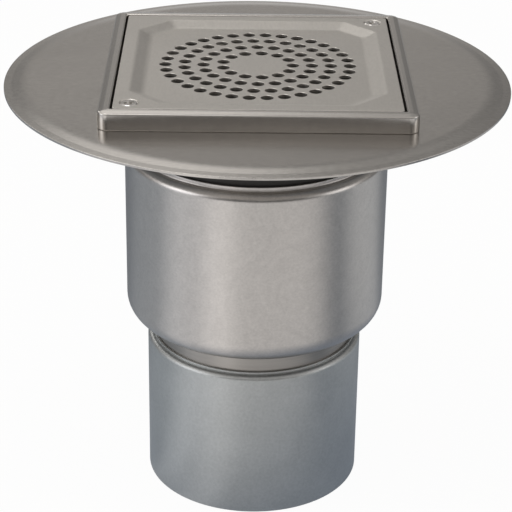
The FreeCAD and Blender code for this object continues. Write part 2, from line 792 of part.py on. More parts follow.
def make_bell_spacers():
    """Notched plates under the bell's crown that stand on the standpipe's rim and centre the bell."""
    body = new_body("bell_spacers")
    body.AllowCompound = True
    sketch = sketch_on(body, "YZ_Plane", "spacer_outline")
    outline(sketch, [
        ("Places.spacer_inner", "Places.riser_top"),
        ("Places.spacer_inner", "Places.crown_under"),
        ("Places.spacer_outer", "Places.crown_under"),
        ("Places.spacer_outer", "Places.spacer_bottom"),
        ("Places.spacer_leg_inner", "Places.spacer_bottom"),
        ("Places.spacer_leg_inner", "Places.riser_top"),
    ])
    plate = pad(body, sketch, "Sizes.spacer_sheet", symmetric=True)
    spread(body, [plate], round(value("Sizes.spacer_count")))
    return body


def make_bell_handle():
    """Folded strip with two feet on the bell's crown."""
    body = new_body("bell_handle")
    sketch = sketch_on(body, "XZ_Plane", "handle_outline")
    half_side = [
        ("Places.handle_inner", "Places.handle_top_under"),
        ("Places.handle_inner", "Places.crown_top"),
        ("Places.handle_end", "Places.crown_top"),
        ("Places.handle_end", "Places.handle_foot_top"),
        ("Places.handle_half", "Places.handle_foot_top"),
        ("Places.handle_half", "Places.handle_top"),
    ]
    outline(sketch, half_side + [(f"-{x}", z) for x, z in reversed(half_side)])
    pad(body, sketch, "Sizes.handle_strip", symmetric=True)
    round_off(body, "Sizes.handle_bend_radius", bends(
        ("Places.handle_half", "Places.handle_top"),
        ("Places.handle_inner", "Places.crown_top"),
    ))
    round_off(body, "Places.handle_bend_inner", bends(
        ("Places.handle_inner", "Places.handle_top_under"),
        ("Places.handle_half", "Places.handle_foot_top"),
    ))
    return body


bodies = [
    make_outlet_pipe(),
    make_outlet_neck(),
    make_trap_body(),
    make_neck_tube(),
    make_neck_seal(),
    make_flange(),
    make_frame(),
    make_grate(),
    make_grate_screws(),
    make_weld_nuts(),
    make_standpipe(),
    make_standpipe_seal(),
    make_bell(),
    make_bell_spacers(),
    make_bell_handle(),
]
doc.recompute()

for item in doc.Objects:
    if {"Invalid", "Error"} & set(item.State):
        raise RuntimeError(f"{item.Label} failed: {item.State}")
for body in bodies:
    if body.Shape.isNull() or not body.Shape.isValid():
        raise RuntimeError(f"{body.Label} has no valid shape")

os.makedirs("parts", exist_ok=True)
for body in bodies:
    body.Shape.exportStep(f"parts/{body.Label}.step")
    print(body.Label, len(body.Shape.Solids), round(body.Shape.Volume, 1))
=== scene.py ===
import math

import bmesh
import bpy
from bpy.props import FloatProperty, FloatVectorProperty, IntProperty, PointerProperty
from mathutils import Matrix, Quaternion, Vector


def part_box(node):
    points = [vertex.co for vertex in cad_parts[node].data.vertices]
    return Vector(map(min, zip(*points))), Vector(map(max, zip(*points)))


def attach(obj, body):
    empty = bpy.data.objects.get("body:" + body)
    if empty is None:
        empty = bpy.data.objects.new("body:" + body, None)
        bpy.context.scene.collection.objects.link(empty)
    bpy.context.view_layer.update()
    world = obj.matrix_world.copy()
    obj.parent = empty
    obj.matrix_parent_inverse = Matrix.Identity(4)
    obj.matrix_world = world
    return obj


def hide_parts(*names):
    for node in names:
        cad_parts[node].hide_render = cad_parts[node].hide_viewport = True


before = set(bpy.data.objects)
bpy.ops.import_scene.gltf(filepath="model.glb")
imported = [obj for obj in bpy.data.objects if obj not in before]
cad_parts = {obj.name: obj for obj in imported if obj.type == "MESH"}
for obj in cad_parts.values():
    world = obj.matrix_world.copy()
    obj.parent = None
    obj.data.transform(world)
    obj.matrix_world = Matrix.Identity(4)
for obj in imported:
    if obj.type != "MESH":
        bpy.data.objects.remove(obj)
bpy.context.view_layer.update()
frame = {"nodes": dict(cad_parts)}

bl_info = {
    "name": "Floor drain",
    "version": (1, 0, 0),
    "blender": (4, 5, 0),
    "location": "View3D > Sidebar > Floor drain",
    "description": "Dresses a stainless floor drain with its finished sheets, shells, holes and screws",
    "category": "Object",
}

# The solids' own boxes give every outer size and place, in metres.
LOW = {node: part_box(node)[0] for node in frame["nodes"]}
HIGH = {node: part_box(node)[1] for node in frame["nodes"]}

MM = 0.001
BODY = "root"

# Steps round each bend, upright corner, screw and hole in a tab
ARC_STEPS = 10
CORNER_STEPS = 6
SCREW_STEPS = 32
TAB_HOLE_STEPS = 24

# Edges sharper than this angle are shaded as edges. A narrow step beside each bend, and a strip beside the
# dish's slope and the grate's edge, keep the flats shaded flat. Corners that lie closer than the last length
# are joined.
SHARP_ANGLE = math.radians(30)
HOLDING_STEP = 0.15 * MM
FLAT_STRIP = 2.5 * MM
WELD_DISTANCE = 0.002 * MM

# The dish's eight sides: how far a side's end moves along when the side moves outwards, and the reach of the
# turn at each end
EIGHT_SIDED_SHARE = math.sqrt(2) - 1
EIGHT_SIDED_TURN = 1.5 * MM


def linear(hex_code):
    """Turn an sRGB hex colour into linear red, green and blue."""
    shares = [int(hex_code[start:start + 2], 16) / 255 for start in (1, 3, 5)]
    return tuple(share / 12.92 if share <= 0.04045 else ((share + 0.055) / 1.055) ** 2.4 for share in shares)


# Settings that a user would change

def millimetres(name, description, default):
    """A length that is shown in the scene's unit and written here in millimetres."""
    return FloatProperty(name=name, description=description, default=default * MM, unit="LENGTH",
                         precision=5)


def degrees(name, description, default):
    """An angle that is written here in degrees."""
    return FloatProperty(name=name, description=description, default=math.radians(default), subtype="ANGLE")


def colour(name, description, hex_code):
    """A colour that is written as an sRGB hex value."""
    return FloatVectorProperty(name=name, description=description, default=linear(hex_code),
                               subtype="COLOR", min=0, max=1)


class ShellSizes(bpy.types.PropertyGroup):
    """Walls and bends of the pipe, the trap body and the neck"""
    pipe_wall: millimetres("Pipe wall", "Sheet of the outlet pipe", 1.2)
    pipe_shoulder_radius: millimetres("Pipe shoulder", "Bend at the pipe's top", 2.5)
    pipe_ledge: millimetres("Pipe ledge", "Flat between the pipe's shoulder and its lip", 0.3)
    pipe_lip_height: millimetres("Pipe lip", "Height of the pipe's lip", 1.2)
    outlet_neck_wall: millimetres("Outlet neck wall", "Sheet of the outlet neck", 1.25)
    body_wall: millimetres("Body wall", "Sheet of the trap body", 1.25)
    body_base_radius: millimetres("Body base", "Bend from the trap body's wall into its base", 10.75)
    body_shoulder_radius: millimetres("Body shoulder", "Bend at the trap body's top", 4.0)
    body_ledge: millimetres("Body ledge", "Flat between the trap body's shoulder and its lip", 0.8)
    body_lip_height: millimetres("Body lip", "Height of the trap body's lip", 2.1)
    body_lip_fillet: millimetres("Body lip bend", "Bend from the ledge into the lip", 0.6)
    outlet_hole: millimetres("Outlet hole", "Radius of the hole in the trap body's base", 41.5)
    neck_wall: millimetres("Neck wall", "Sheet of the neck tube", 1.25)
    neck_seal_groove: millimetres("Neck seal groove", "Groove between the neck's seal and the lip", 0.55)
    cut_edge: millimetres("Cut edge", "Rounding of cut sheet edges", 0.25)
    segments: IntProperty(name="Segments", description="Steps round each turned shell", default=224, min=24)


class FlangeSizes(bpy.types.PropertyGroup):
    """Sheet, collar and stepped rim of the flange"""
    sheet: millimetres("Sheet", "Thickness of the flange", 1.25)
    bend_radius: millimetres("Collar bend", "Inside of the bend from the plate into the collar", 3.0)
    rim_band: millimetres("Rim band", "Width of the band at the edge", 3.8)
    rim_droop: millimetres("Rim droop", "How far the band falls towards the edge", 0.3)
    step_width: millimetres("Step width", "Width of the slope inside the band", 6.0)
    step_drop: millimetres("Step drop", "How far the band lies below the plate", 0.75)
    step_radius: millimetres("Step radius", "Bend from the plate into the slope", 45.0)
    crease_radius: millimetres("Crease radius", "Bend from the slope into the band", 1.0)


class FrameSizes(bpy.types.PropertyGroup):
    """Pressed tile frame"""
    sheet: millimetres("Sheet", "Thickness of the frame", 1.5)
    rim: millimetres("Rim", "Width of the rim round the grate", 5.8)
    corner_radius: millimetres("Corner radius", "Rounding of the upright corners", 5.0)
    edge_radius: millimetres("Edge radius", "Rounding of the rim's outer edge", 0.9)
    inner_edge_radius: millimetres("Inner edge radius", "Rounding of the rim's inner edge", 1.0)
    inner_corner_radius: millimetres("Inner corner radius", "Rounding of the opening's corners", 0.6)
    inner_fall: millimetres("Inner fall", "How far the rim falls over its inner half", 0.3)
    outer_fall: millimetres("Outer fall", "How far the rim falls over its outer half", 0.6)
    crown_radius: millimetres("Crown radius", "Bend between the rim's two halves", 6.0)
    skirt_lean: millimetres("Skirt lean", "How far the skirt leans in over its upper half", 0.18)
    skirt_bend: millimetres("Skirt bend", "Bend between the skirt's two halves", 90.0)
    foot_radius: millimetres("Foot radius", "Rounding of the skirt's outer foot", 0.4)
    tab_setback: millimetres("Tab setback", "From the rim's inner wall at the sides to a tab", 2.2)
    tab_width: millimetres("Tab width", "Width of the tabs that carry the grate", 12.0)


class GrateSizes(bpy.types.PropertyGroup):
    """Pressed and perforated grate"""
    sheet: millimetres("Sheet", "Thickness of the grate", 1.5)
    corner_radius: millimetres("Corner radius", "Rounding of the grate's corners", 1.5)
    border: millimetres("Border", "Flat border round the dish", 6.7)
    corner_cut: millimetres("Corner cut", "How far the dish's corners are cut off", 15.5)
    bevel: millimetres("Bevel", "Width of the dish's slope", 6.0)
    dish_depth: millimetres("Dish depth", "How far the dish is pressed down", 2.4)
    dish_bend: millimetres("Dish bend", "Bend at the top of the slope", 5.0)
    floor_bend: millimetres("Floor bend", "Bend at the foot of the slope", 9.0)
    hole_diameter: millimetres("Hole diameter", "Width of each hole", 6.0)
    hole_pitch: millimetres("Hole pitch", "Distance from hole to hole round a ring", 8.31)
    hole_edge: millimetres("Hole edge", "Edge that the punch draws in", 0.15)
    first_ring: IntProperty(name="First ring", description="Holes in the innermost ring", default=13, min=3)
    ring_step: IntProperty(name="Ring step", description="Holes that each ring adds", default=7, min=0)
    ring_count: IntProperty(name="Rings", description="Rings of holes", default=4, min=1)
    hole_sides: IntProperty(name="Hole sides", description="Steps round each hole", default=28, min=8)


class ScrewSizes(bpy.types.PropertyGroup):
    """Countersunk screws of the grate"""
    inset: millimetres("Inset", "From the grate's edge to a screw's middle", 7.4)
    head_diameter: millimetres("Head", "Width of the head", 8.4)
    head_edge: millimetres("Head edge", "Upright edge of the head", 0.2)
    head_bevel: millimetres("Head bevel", "Width of the bevel round the head's top", 0.6)
    head_bevel_drop: millimetres("Head bevel drop", "Height of the bevel round the head's top", 0.5)
    sink_diameter: millimetres("Countersink", "Width of the countersink", 9.4)
    shank_diameter: millimetres("Shank", "Width of the shank", 5.0)
    clearance: millimetres("Clearance", "Room round the shank in a tab's hole", 0.7)
    recess_length: millimetres("Recess length", "Length of the cross recess", 5.0)
    recess_width: millimetres("Recess width", "Width of the cross recess's arms", 1.6)
    recess_depth: millimetres("Recess depth", "Depth of the cross recess", 2.2)
    first_turn: degrees("First turn", "How the front screw was left turned", 20)
    turn_step: degrees("Turn step", "How much further the back screw is turned", 38)


class TrapSizes(bpy.types.PropertyGroup):
    """Standpipe, seal and bell"""
    riser_radius: millimetres("Standpipe radius", "Outside of the standpipe", 37.5)
    riser_wall: millimetres("Standpipe wall", "Sheet of the standpipe", 1.2)
    seal_sheet: millimetres("Seal sheet", "Thickness of the seal's flat", 2.0)
    bell_wall: millimetres("Bell wall", "Sheet of the bell", 1.2)
    crown_radius: millimetres("Crown radius", "Bend at the bell's top", 6.0)


class Finishes(bpy.types.PropertyGroup):
    """Colours of the materials"""
    shell: colour("Shell", "Stainless of the trap body and the neck", "#C7C3BF")
    pipe: colour("Pipe", "Stainless of the outlet pipe", "#C0C2C1")
    # The outlet neck's colour is darker than the other stainless: painted shade between the trap body and
    # the pipe.
    neck: colour("Outlet neck", "Stainless of the outlet neck", "#A6A29D")
    flange: colour("Flange", "Stainless sheet of the flange and the frame", "#C4C0BB")
    grate: colour("Grate", "Stainless sheet of the grate", "#D0CCC6")
    screw: colour("Screw", "Stainless of screws and nuts", "#CFCCC8")
    trap: colour("Trap", "Stainless of the trap's insert", "#B4B2AF")
    rubber: colour("Rubber", "Rubber of the seal", "#2E2C2A")


class StageSettings(bpy.types.PropertyGroup):
    """Floor, light and camera"""
    floor: colour("Floor", "Matte studio floor", "#E9E8E6")
    lens: FloatProperty(name="Lens", description="Focal length for a 36 mm sensor", default=130.25,
                        unit="CAMERA")
    distance: millimetres("Distance", "From the camera to the point it looks at", 948.0)
    azimuth: degrees("Azimuth", "Camera's turn to the right of the front", -0.57)
    elevation: degrees("Elevation", "Camera's angle above the horizon", 25.65)
    roll: degrees("Roll", "Camera's turn about its own axis", 0.84)
    aim_side: millimetres("Aim to the side", "The point it looks at, right of the drain's axis", 0.5)
    aim_height: millimetres("Aim height", "The point it looks at, above the floor", 119.1)


class DrainSettings(bpy.types.PropertyGroup):
    """All settings of the drain"""
    shells: PointerProperty(type=ShellSizes)
    flange: PointerProperty(type=FlangeSizes)
    frame: PointerProperty(type=FrameSizes)
    grate: PointerProperty(type=GrateSizes)
    screws: PointerProperty(type=ScrewSizes)
    trap: PointerProperty(type=TrapSizes)
    finishes: PointerProperty(type=Finishes)
    stage: PointerProperty(type=StageSettings)


# Outlines and meshes

def rounded(corners):
    """Points along an outline of (x, z, radius) corners: an arc at each corner that has a radius, and a
    holding step beside it that keeps the flat next to it shaded flat."""
    points = []
    for number, (x, z, radius) in enumerate(corners):
        corner = Vector((x, z))
        if radius <= 0:
            points.append(corner)
            continue
        back = (Vector(corners[number - 1][:2]) - corner).normalized()
        ahead = (Vector(corners[(number + 1) % len(corners)][:2]) - corner).normalized()
        half_angle = back.angle(ahead) / 2
        reach = radius / math.tan(half_angle)
        centre = corner + (back + ahead).normalized() * (radius / math.sin(half_angle))
        sweep = math.copysign(math.pi - 2 * half_angle, back.y * ahead.x - back.x * ahead.y)
        arm = corner + back * reach - centre
        points.append(corner + back * (reach + HOLDING_STEP))
        for step in range(ARC_STEPS + 1):
            points.append(centre + Matrix.Rotation(sweep * step / ARC_STEPS, 2) @ arm)
        points.append(corner + ahead * (reach + HOLDING_STEP))
    return points


def mesh_from(bm, name):
    """Close a bmesh: faces outwards, smooth but for real edges."""
    bmesh.ops.recalc_face_normals(bm, faces=bm.faces)
    mesh = bpy.data.meshes.new(name)
    bm.to_mesh(mesh)
    bm.free()
    mesh.shade_smooth()
    mesh.set_sharp_from_angle(angle=SHARP_ANGLE)
    return mesh


def bridge(bm, loops, closed=False):
    """Join loops that have equally many corners. A repeated corner is a pole."""
    following = loops[1:] + loops[:1] if closed else loops[1:]
    for loop, after in zip(loops, following):
        for i in range(len(loop)):
            face = list(dict.fromkeys((loop[i - 1], loop[i], after[i], after[i - 1])))
            if len(face) > 2:
                bm.faces.new(face)


def fill_flat(bm, loops):
    """Fill the flat between an outer loop and the loops inside it."""
    edges = []
    for loop in loops:
        for ends in zip(loop, loop[1:] + loop[:1]):
            edges.append(bm.edges.get(ends) or bm.edges.new(ends))
    bmesh.ops.triangle_fill(bm, use_beauty=True, edges=edges)


def ring(bm, radius, height, steps, x=0, y=0):
    """A round loop of corners."""
    loop = []
    for step in range(steps):
        turn = math.tau * step / steps
        loop.append(bm.verts.new((x + radius * math.cos(turn), y + radius * math.sin(turn), height)))
    return loop


def lathe(name, corners, segments):
    """Turn a closed outline of (radius, height, bend radius) corners round Z."""
    bm = bmesh.new()
    loops = []
    for radius, height in rounded(corners):
        if radius > WELD_DISTANCE:
            loops.append(ring(bm, radius, height, segments))
        else:
            loops.append([bm.verts.new((0, 0, height))] * segments)
    bridge(bm, loops, closed=True)
    return mesh_from(bm, name)


def four_quarters(bm, quarter, height):
    """A loop of corners that repeats one quarter's corners four times round Z."""
    loop = []
    for number in range(4):
        turn = Matrix.Rotation(number * math.pi / 2, 2)
        loop += [bm.verts.new((*(turn @ corner), height)) for corner in quarter]
    return loop


def square_loop(bm, half, radius, height):
    """A loop round a square with rounded corners, with holding steps that keep its sides shaded flat."""
    middle = half - radius
    quarter = [Vector((half, middle - HOLDING_STEP))]
    for step in range(CORNER_STEPS + 1):
        angle = math.pi / 2 * step / CORNER_STEPS
        quarter.append(Vector((middle + radius * math.cos(angle), middle + radius * math.sin(angle))))
    quarter.append(Vector((middle - HOLDING_STEP, half)))
    return four_quarters(bm, quarter, height)


def eight_sided_loop(bm, half, corner, height):
    """A loop round a square with cut corners, each of which is slightly rounded between holding steps."""
    first, second = Vector((half, corner)), Vector((corner, half))
    slant = (second - first).normalized()
    quarter = []
    for place, before, after in ((first, Vector((0, 1)), slant), (second, slant, Vector((-1, 0)))):
        start, end = place - before * EIGHT_SIDED_TURN, place + after * EIGHT_SIDED_TURN
        quarter.append(start - before * HOLDING_STEP)
        quarter += [start, (start + 2 * place + end) / 4, end]
        quarter.append(end + after * HOLDING_STEP)
    return four_quarters(bm, quarter, height)


# Materials

# Most of a noise lies between these two values. The tone takes this share of its change from the grain, and
# the rest from the stains.
NOISE_LOW = 0.3
NOISE_HIGH = 0.7
GRAIN_IN_TONE = 0.6

# A Mix node's outputs for numbers, vectors and colours
MIXED_NUMBER = 0
MIXED_VECTOR = 1
MIXED_COLOUR = 2


def add_node(tree, kind, settings=None, inputs=None):
    """Add a node with its settings. An input is named by its identifier or its number, and takes a value or
    a link from another node's output."""
    node = tree.nodes.new(kind)
    for name, setting in (settings or {}).items():
        setattr(node, name, setting)
    sockets = {socket.identifier: socket for socket in node.inputs}
    for name, content in (inputs or {}).items():
        socket = node.inputs[name] if isinstance(name, int) else sockets[name]
        if isinstance(content, bpy.types.NodeSocket):
            tree.links.new(content, socket)
        else:
            socket.default_value = content
    return node


def satin_steel(name, base, roughness, grain_mm, grain_depth, stain_mm, stain_share, gloss_share, swirl=0.6):
    """Stainless steel with a satin face: a grain with one size along each axis, which shifts its tone and
    gloss, and soft stains that shift its tone. The real grain is too fine to show in the render, so it is
    drawn about 1 mm wide."""
    material = bpy.data.materials.new(name)
    material.use_nodes = True
    tree = material.node_tree
    shader = tree.nodes["Principled BSDF"]
    shader.inputs["Metallic"].default_value = 1.0
    place = add_node(tree, "ShaderNodeTexCoord").outputs["Object"]
    scale = [1 / (size * MM) for size in grain_mm]
    stretched = add_node(tree, "ShaderNodeMapping", inputs={"Vector": place, "Scale": scale})
    grain = add_node(tree, "ShaderNodeTexNoise", inputs={
        "Vector": stretched.outputs["Vector"], "Scale": 1.0, "Detail": 3.0, "Roughness": 0.6})
    bump = add_node(tree, "ShaderNodeBump", inputs={
        "Height": grain.outputs["Fac"], "Strength": 1.0, "Distance": grain_depth * MM})
    tree.links.new(bump.outputs["Normal"], shader.inputs["Normal"])
    stain = add_node(tree, "ShaderNodeTexNoise", inputs={
        "Vector": place, "Scale": 1 / (stain_mm * MM), "Detail": 4.0, "Roughness": 0.55,
        "Distortion": swirl})
    marks = add_node(tree, "ShaderNodeMix", {"data_type": "FLOAT"}, {
        "Factor_Float": GRAIN_IN_TONE, "A_Float": stain.outputs["Fac"], "B_Float": grain.outputs["Fac"]})
    dark = [channel * (1 - stain_share) for channel in base]
    tone = add_node(tree, "ShaderNodeMapRange", inputs={
        "Value": marks.outputs[MIXED_NUMBER], "From Min": NOISE_LOW, "From Max": NOISE_HIGH,
        "To Min": 0.0, "To Max": 1.0})
    mixed = add_node(tree, "ShaderNodeMix", {"data_type": "RGBA"}, {
        "Factor_Float": tone.outputs["Result"], "A_Color": (*dark, 1.0), "B_Color": (*base, 1.0)})
    tree.links.new(mixed.outputs[MIXED_COLOUR], shader.inputs["Base Color"])
    gloss = add_node(tree, "ShaderNodeMapRange", inputs={
        "Value": grain.outputs["Fac"], "From Min": NOISE_LOW, "From Max": NOISE_HIGH,
        "To Min": roughness * (1 - gloss_share), "To Max": roughness * (1 + gloss_share)})
    tree.links.new(gloss.outputs["Result"], shader.inputs["Roughness"])
    return material


def drawn_shell(finishes):
    """Deep-drawn stainless, ground by hand: a soft gloss with a fine even grain and faint swirls."""
    return satin_steel("Satin stainless, drawn shell", finishes.shell, roughness=0.31,
                       grain_mm=(1.2, 1.2, 1.0), grain_depth=0.002, stain_mm=16, stain_share=0.22,
                       gloss_share=0.06, swirl=3.5)


def pickled_pipe(finishes):
    """Pickled stainless pipe: a cold, dull grey with faint mottling."""
    return satin_steel("Pickled stainless pipe", finishes.pipe, roughness=0.44, grain_mm=(1.4, 1.4, 1.4),
                       grain_depth=0.004, stain_mm=26, stain_share=0.22, gloss_share=0.06)


def turned_neck(finishes):
    """Stainless tube left from the lathe: fine level rings. Its darker tone is painted shade."""
    return satin_steel("Turned stainless neck", finishes.neck, roughness=0.34, grain_mm=(40, 40, 0.9),
                       grain_depth=0.03, stain_mm=45, stain_share=0.24, gloss_share=0.08)


def rolled_sheet(finishes):
    """Cold-rolled stainless sheet of the flange: a fine grain, longer sideways, and a soft mirror."""
    return satin_steel("Rolled stainless sheet", finishes.flange, roughness=0.22, grain_mm=(3, 1.2, 3),
                       grain_depth=0.002, stain_mm=60, stain_share=0.2, gloss_share=0.06)


def folded_sheet(finishes):
    """Folded stainless sheet of the frame: a little smoother and more even than the flange, so its bends
    have clear light and dark lines."""
    return satin_steel("Folded stainless sheet", finishes.flange, roughness=0.20, grain_mm=(4, 1.2, 4),
                       grain_depth=0.002, stain_mm=60, stain_share=0.10, gloss_share=0.06)


def pressed_sheet(finishes):
    """Pressed and ground stainless sheet of the grate: pale, even and dull, with a short grain."""
    return satin_steel("Ground stainless sheet", finishes.grate, roughness=0.40, grain_mm=(1.2, 3, 3),
                       grain_depth=0.003, stain_mm=50, stain_share=0.14, gloss_share=0.06)


def turned_screw(finishes):
    """Stainless screws, tumbled bright."""
    return satin_steel("Tumbled stainless screw", finishes.screw, roughness=0.22, grain_mm=(0.8, 0.8, 0.8),
                       grain_depth=0.004, stain_mm=6, stain_share=0.12, gloss_share=0.1)


def dull_insert(finishes):
    """Stainless of the trap's loose insert, dulled by water, with level rings."""
    return satin_steel("Water-dulled stainless", finishes.trap, roughness=0.45, grain_mm=(20, 20, 1.2),
                       grain_depth=0.006, stain_mm=25, stain_share=0.16, gloss_share=0.1)


def seal_rubber(finishes):
    """Moulded rubber: nearly black, matte, with a slight grain."""
    material = bpy.data.materials.new("Moulded rubber")
    material.use_nodes = True
    tree = material.node_tree
    shader = tree.nodes["Principled BSDF"]
    shader.inputs["Base Color"].default_value = (*finishes.rubber, 1.0)
    grain_width = 0.8 * MM
    grain_depth = 0.02 * MM
    place = add_node(tree, "ShaderNodeTexCoord").outputs["Object"]
    grain = add_node(tree, "ShaderNodeTexNoise", inputs={
        "Vector": place, "Scale": 1 / grain_width, "Detail": 2.0})
    bump = add_node(tree, "ShaderNodeBump", inputs={
        "Height": grain.outputs["Fac"], "Distance": grain_depth})
    tree.links.new(bump.outputs["Normal"], shader.inputs["Normal"])
    gloss = add_node(tree, "ShaderNodeMapRange", inputs={
        "Value": grain.outputs["Fac"], "To Min": 0.5, "To Max": 0.75})
    tree.links.new(gloss.outputs["Result"], shader.inputs["Roughness"])
    return material


# Pieces

def add_piece(mesh, material, node):
    """Show a finished mesh in place of a solid."""
    mesh.materials.clear()
    mesh.materials.append(material)
    piece = bpy.data.objects.new(f"finished_{node}", mesh)
    bpy.context.scene.collection.objects.link(piece)
    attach(piece, BODY)
    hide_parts(node)


def keep_node(node, material):
    """Give a solid that is shown as it is a finished material."""
    frame["nodes"][node].material_slots[0].material = material


def grow(mesh, name, build_tree, inputs):
    """Run a mesh through a node tree and give back the plain mesh that comes out."""
    carrier = bpy.data.objects.new(name, mesh)
    bpy.context.scene.collection.objects.link(carrier)
    tree = build_tree()
    modifier = carrier.modifiers.new(tree.name, "NODES")
    modifier.node_group = tree
    for socket in tree.interface.items_tree:
        if socket.in_out == "INPUT" and socket.name in inputs:
            modifier[socket.identifier] = inputs[socket.name]
    depsgraph = bpy.context.evaluated_depsgraph_get()
    grown = bpy.data.meshes.new_from_object(carrier.evaluated_get(depsgraph))
    carrier.modifiers.remove(modifier)
    bpy.data.objects.remove(carrier)
    bm = bmesh.new()
    bm.from_mesh(grown)
    return mesh_from(bm, name)


def open_sockets(tree, sockets):
    """Give a geometry tree its named inputs and its one output, and return its two end nodes."""
    tree.interface.new_socket("Geometry", in_out="INPUT", socket_type="NodeSocketGeometry")
    for name, kind in sockets:
        tree.interface.new_socket(name, in_out="INPUT", socket_type=kind)
    tree.interface.new_socket("Geometry", in_out="OUTPUT", socket_type="NodeSocketGeometry")
    return add_node(tree, "NodeGroupInput").outputs, add_node(tree, "NodeGroupOutput").inputs


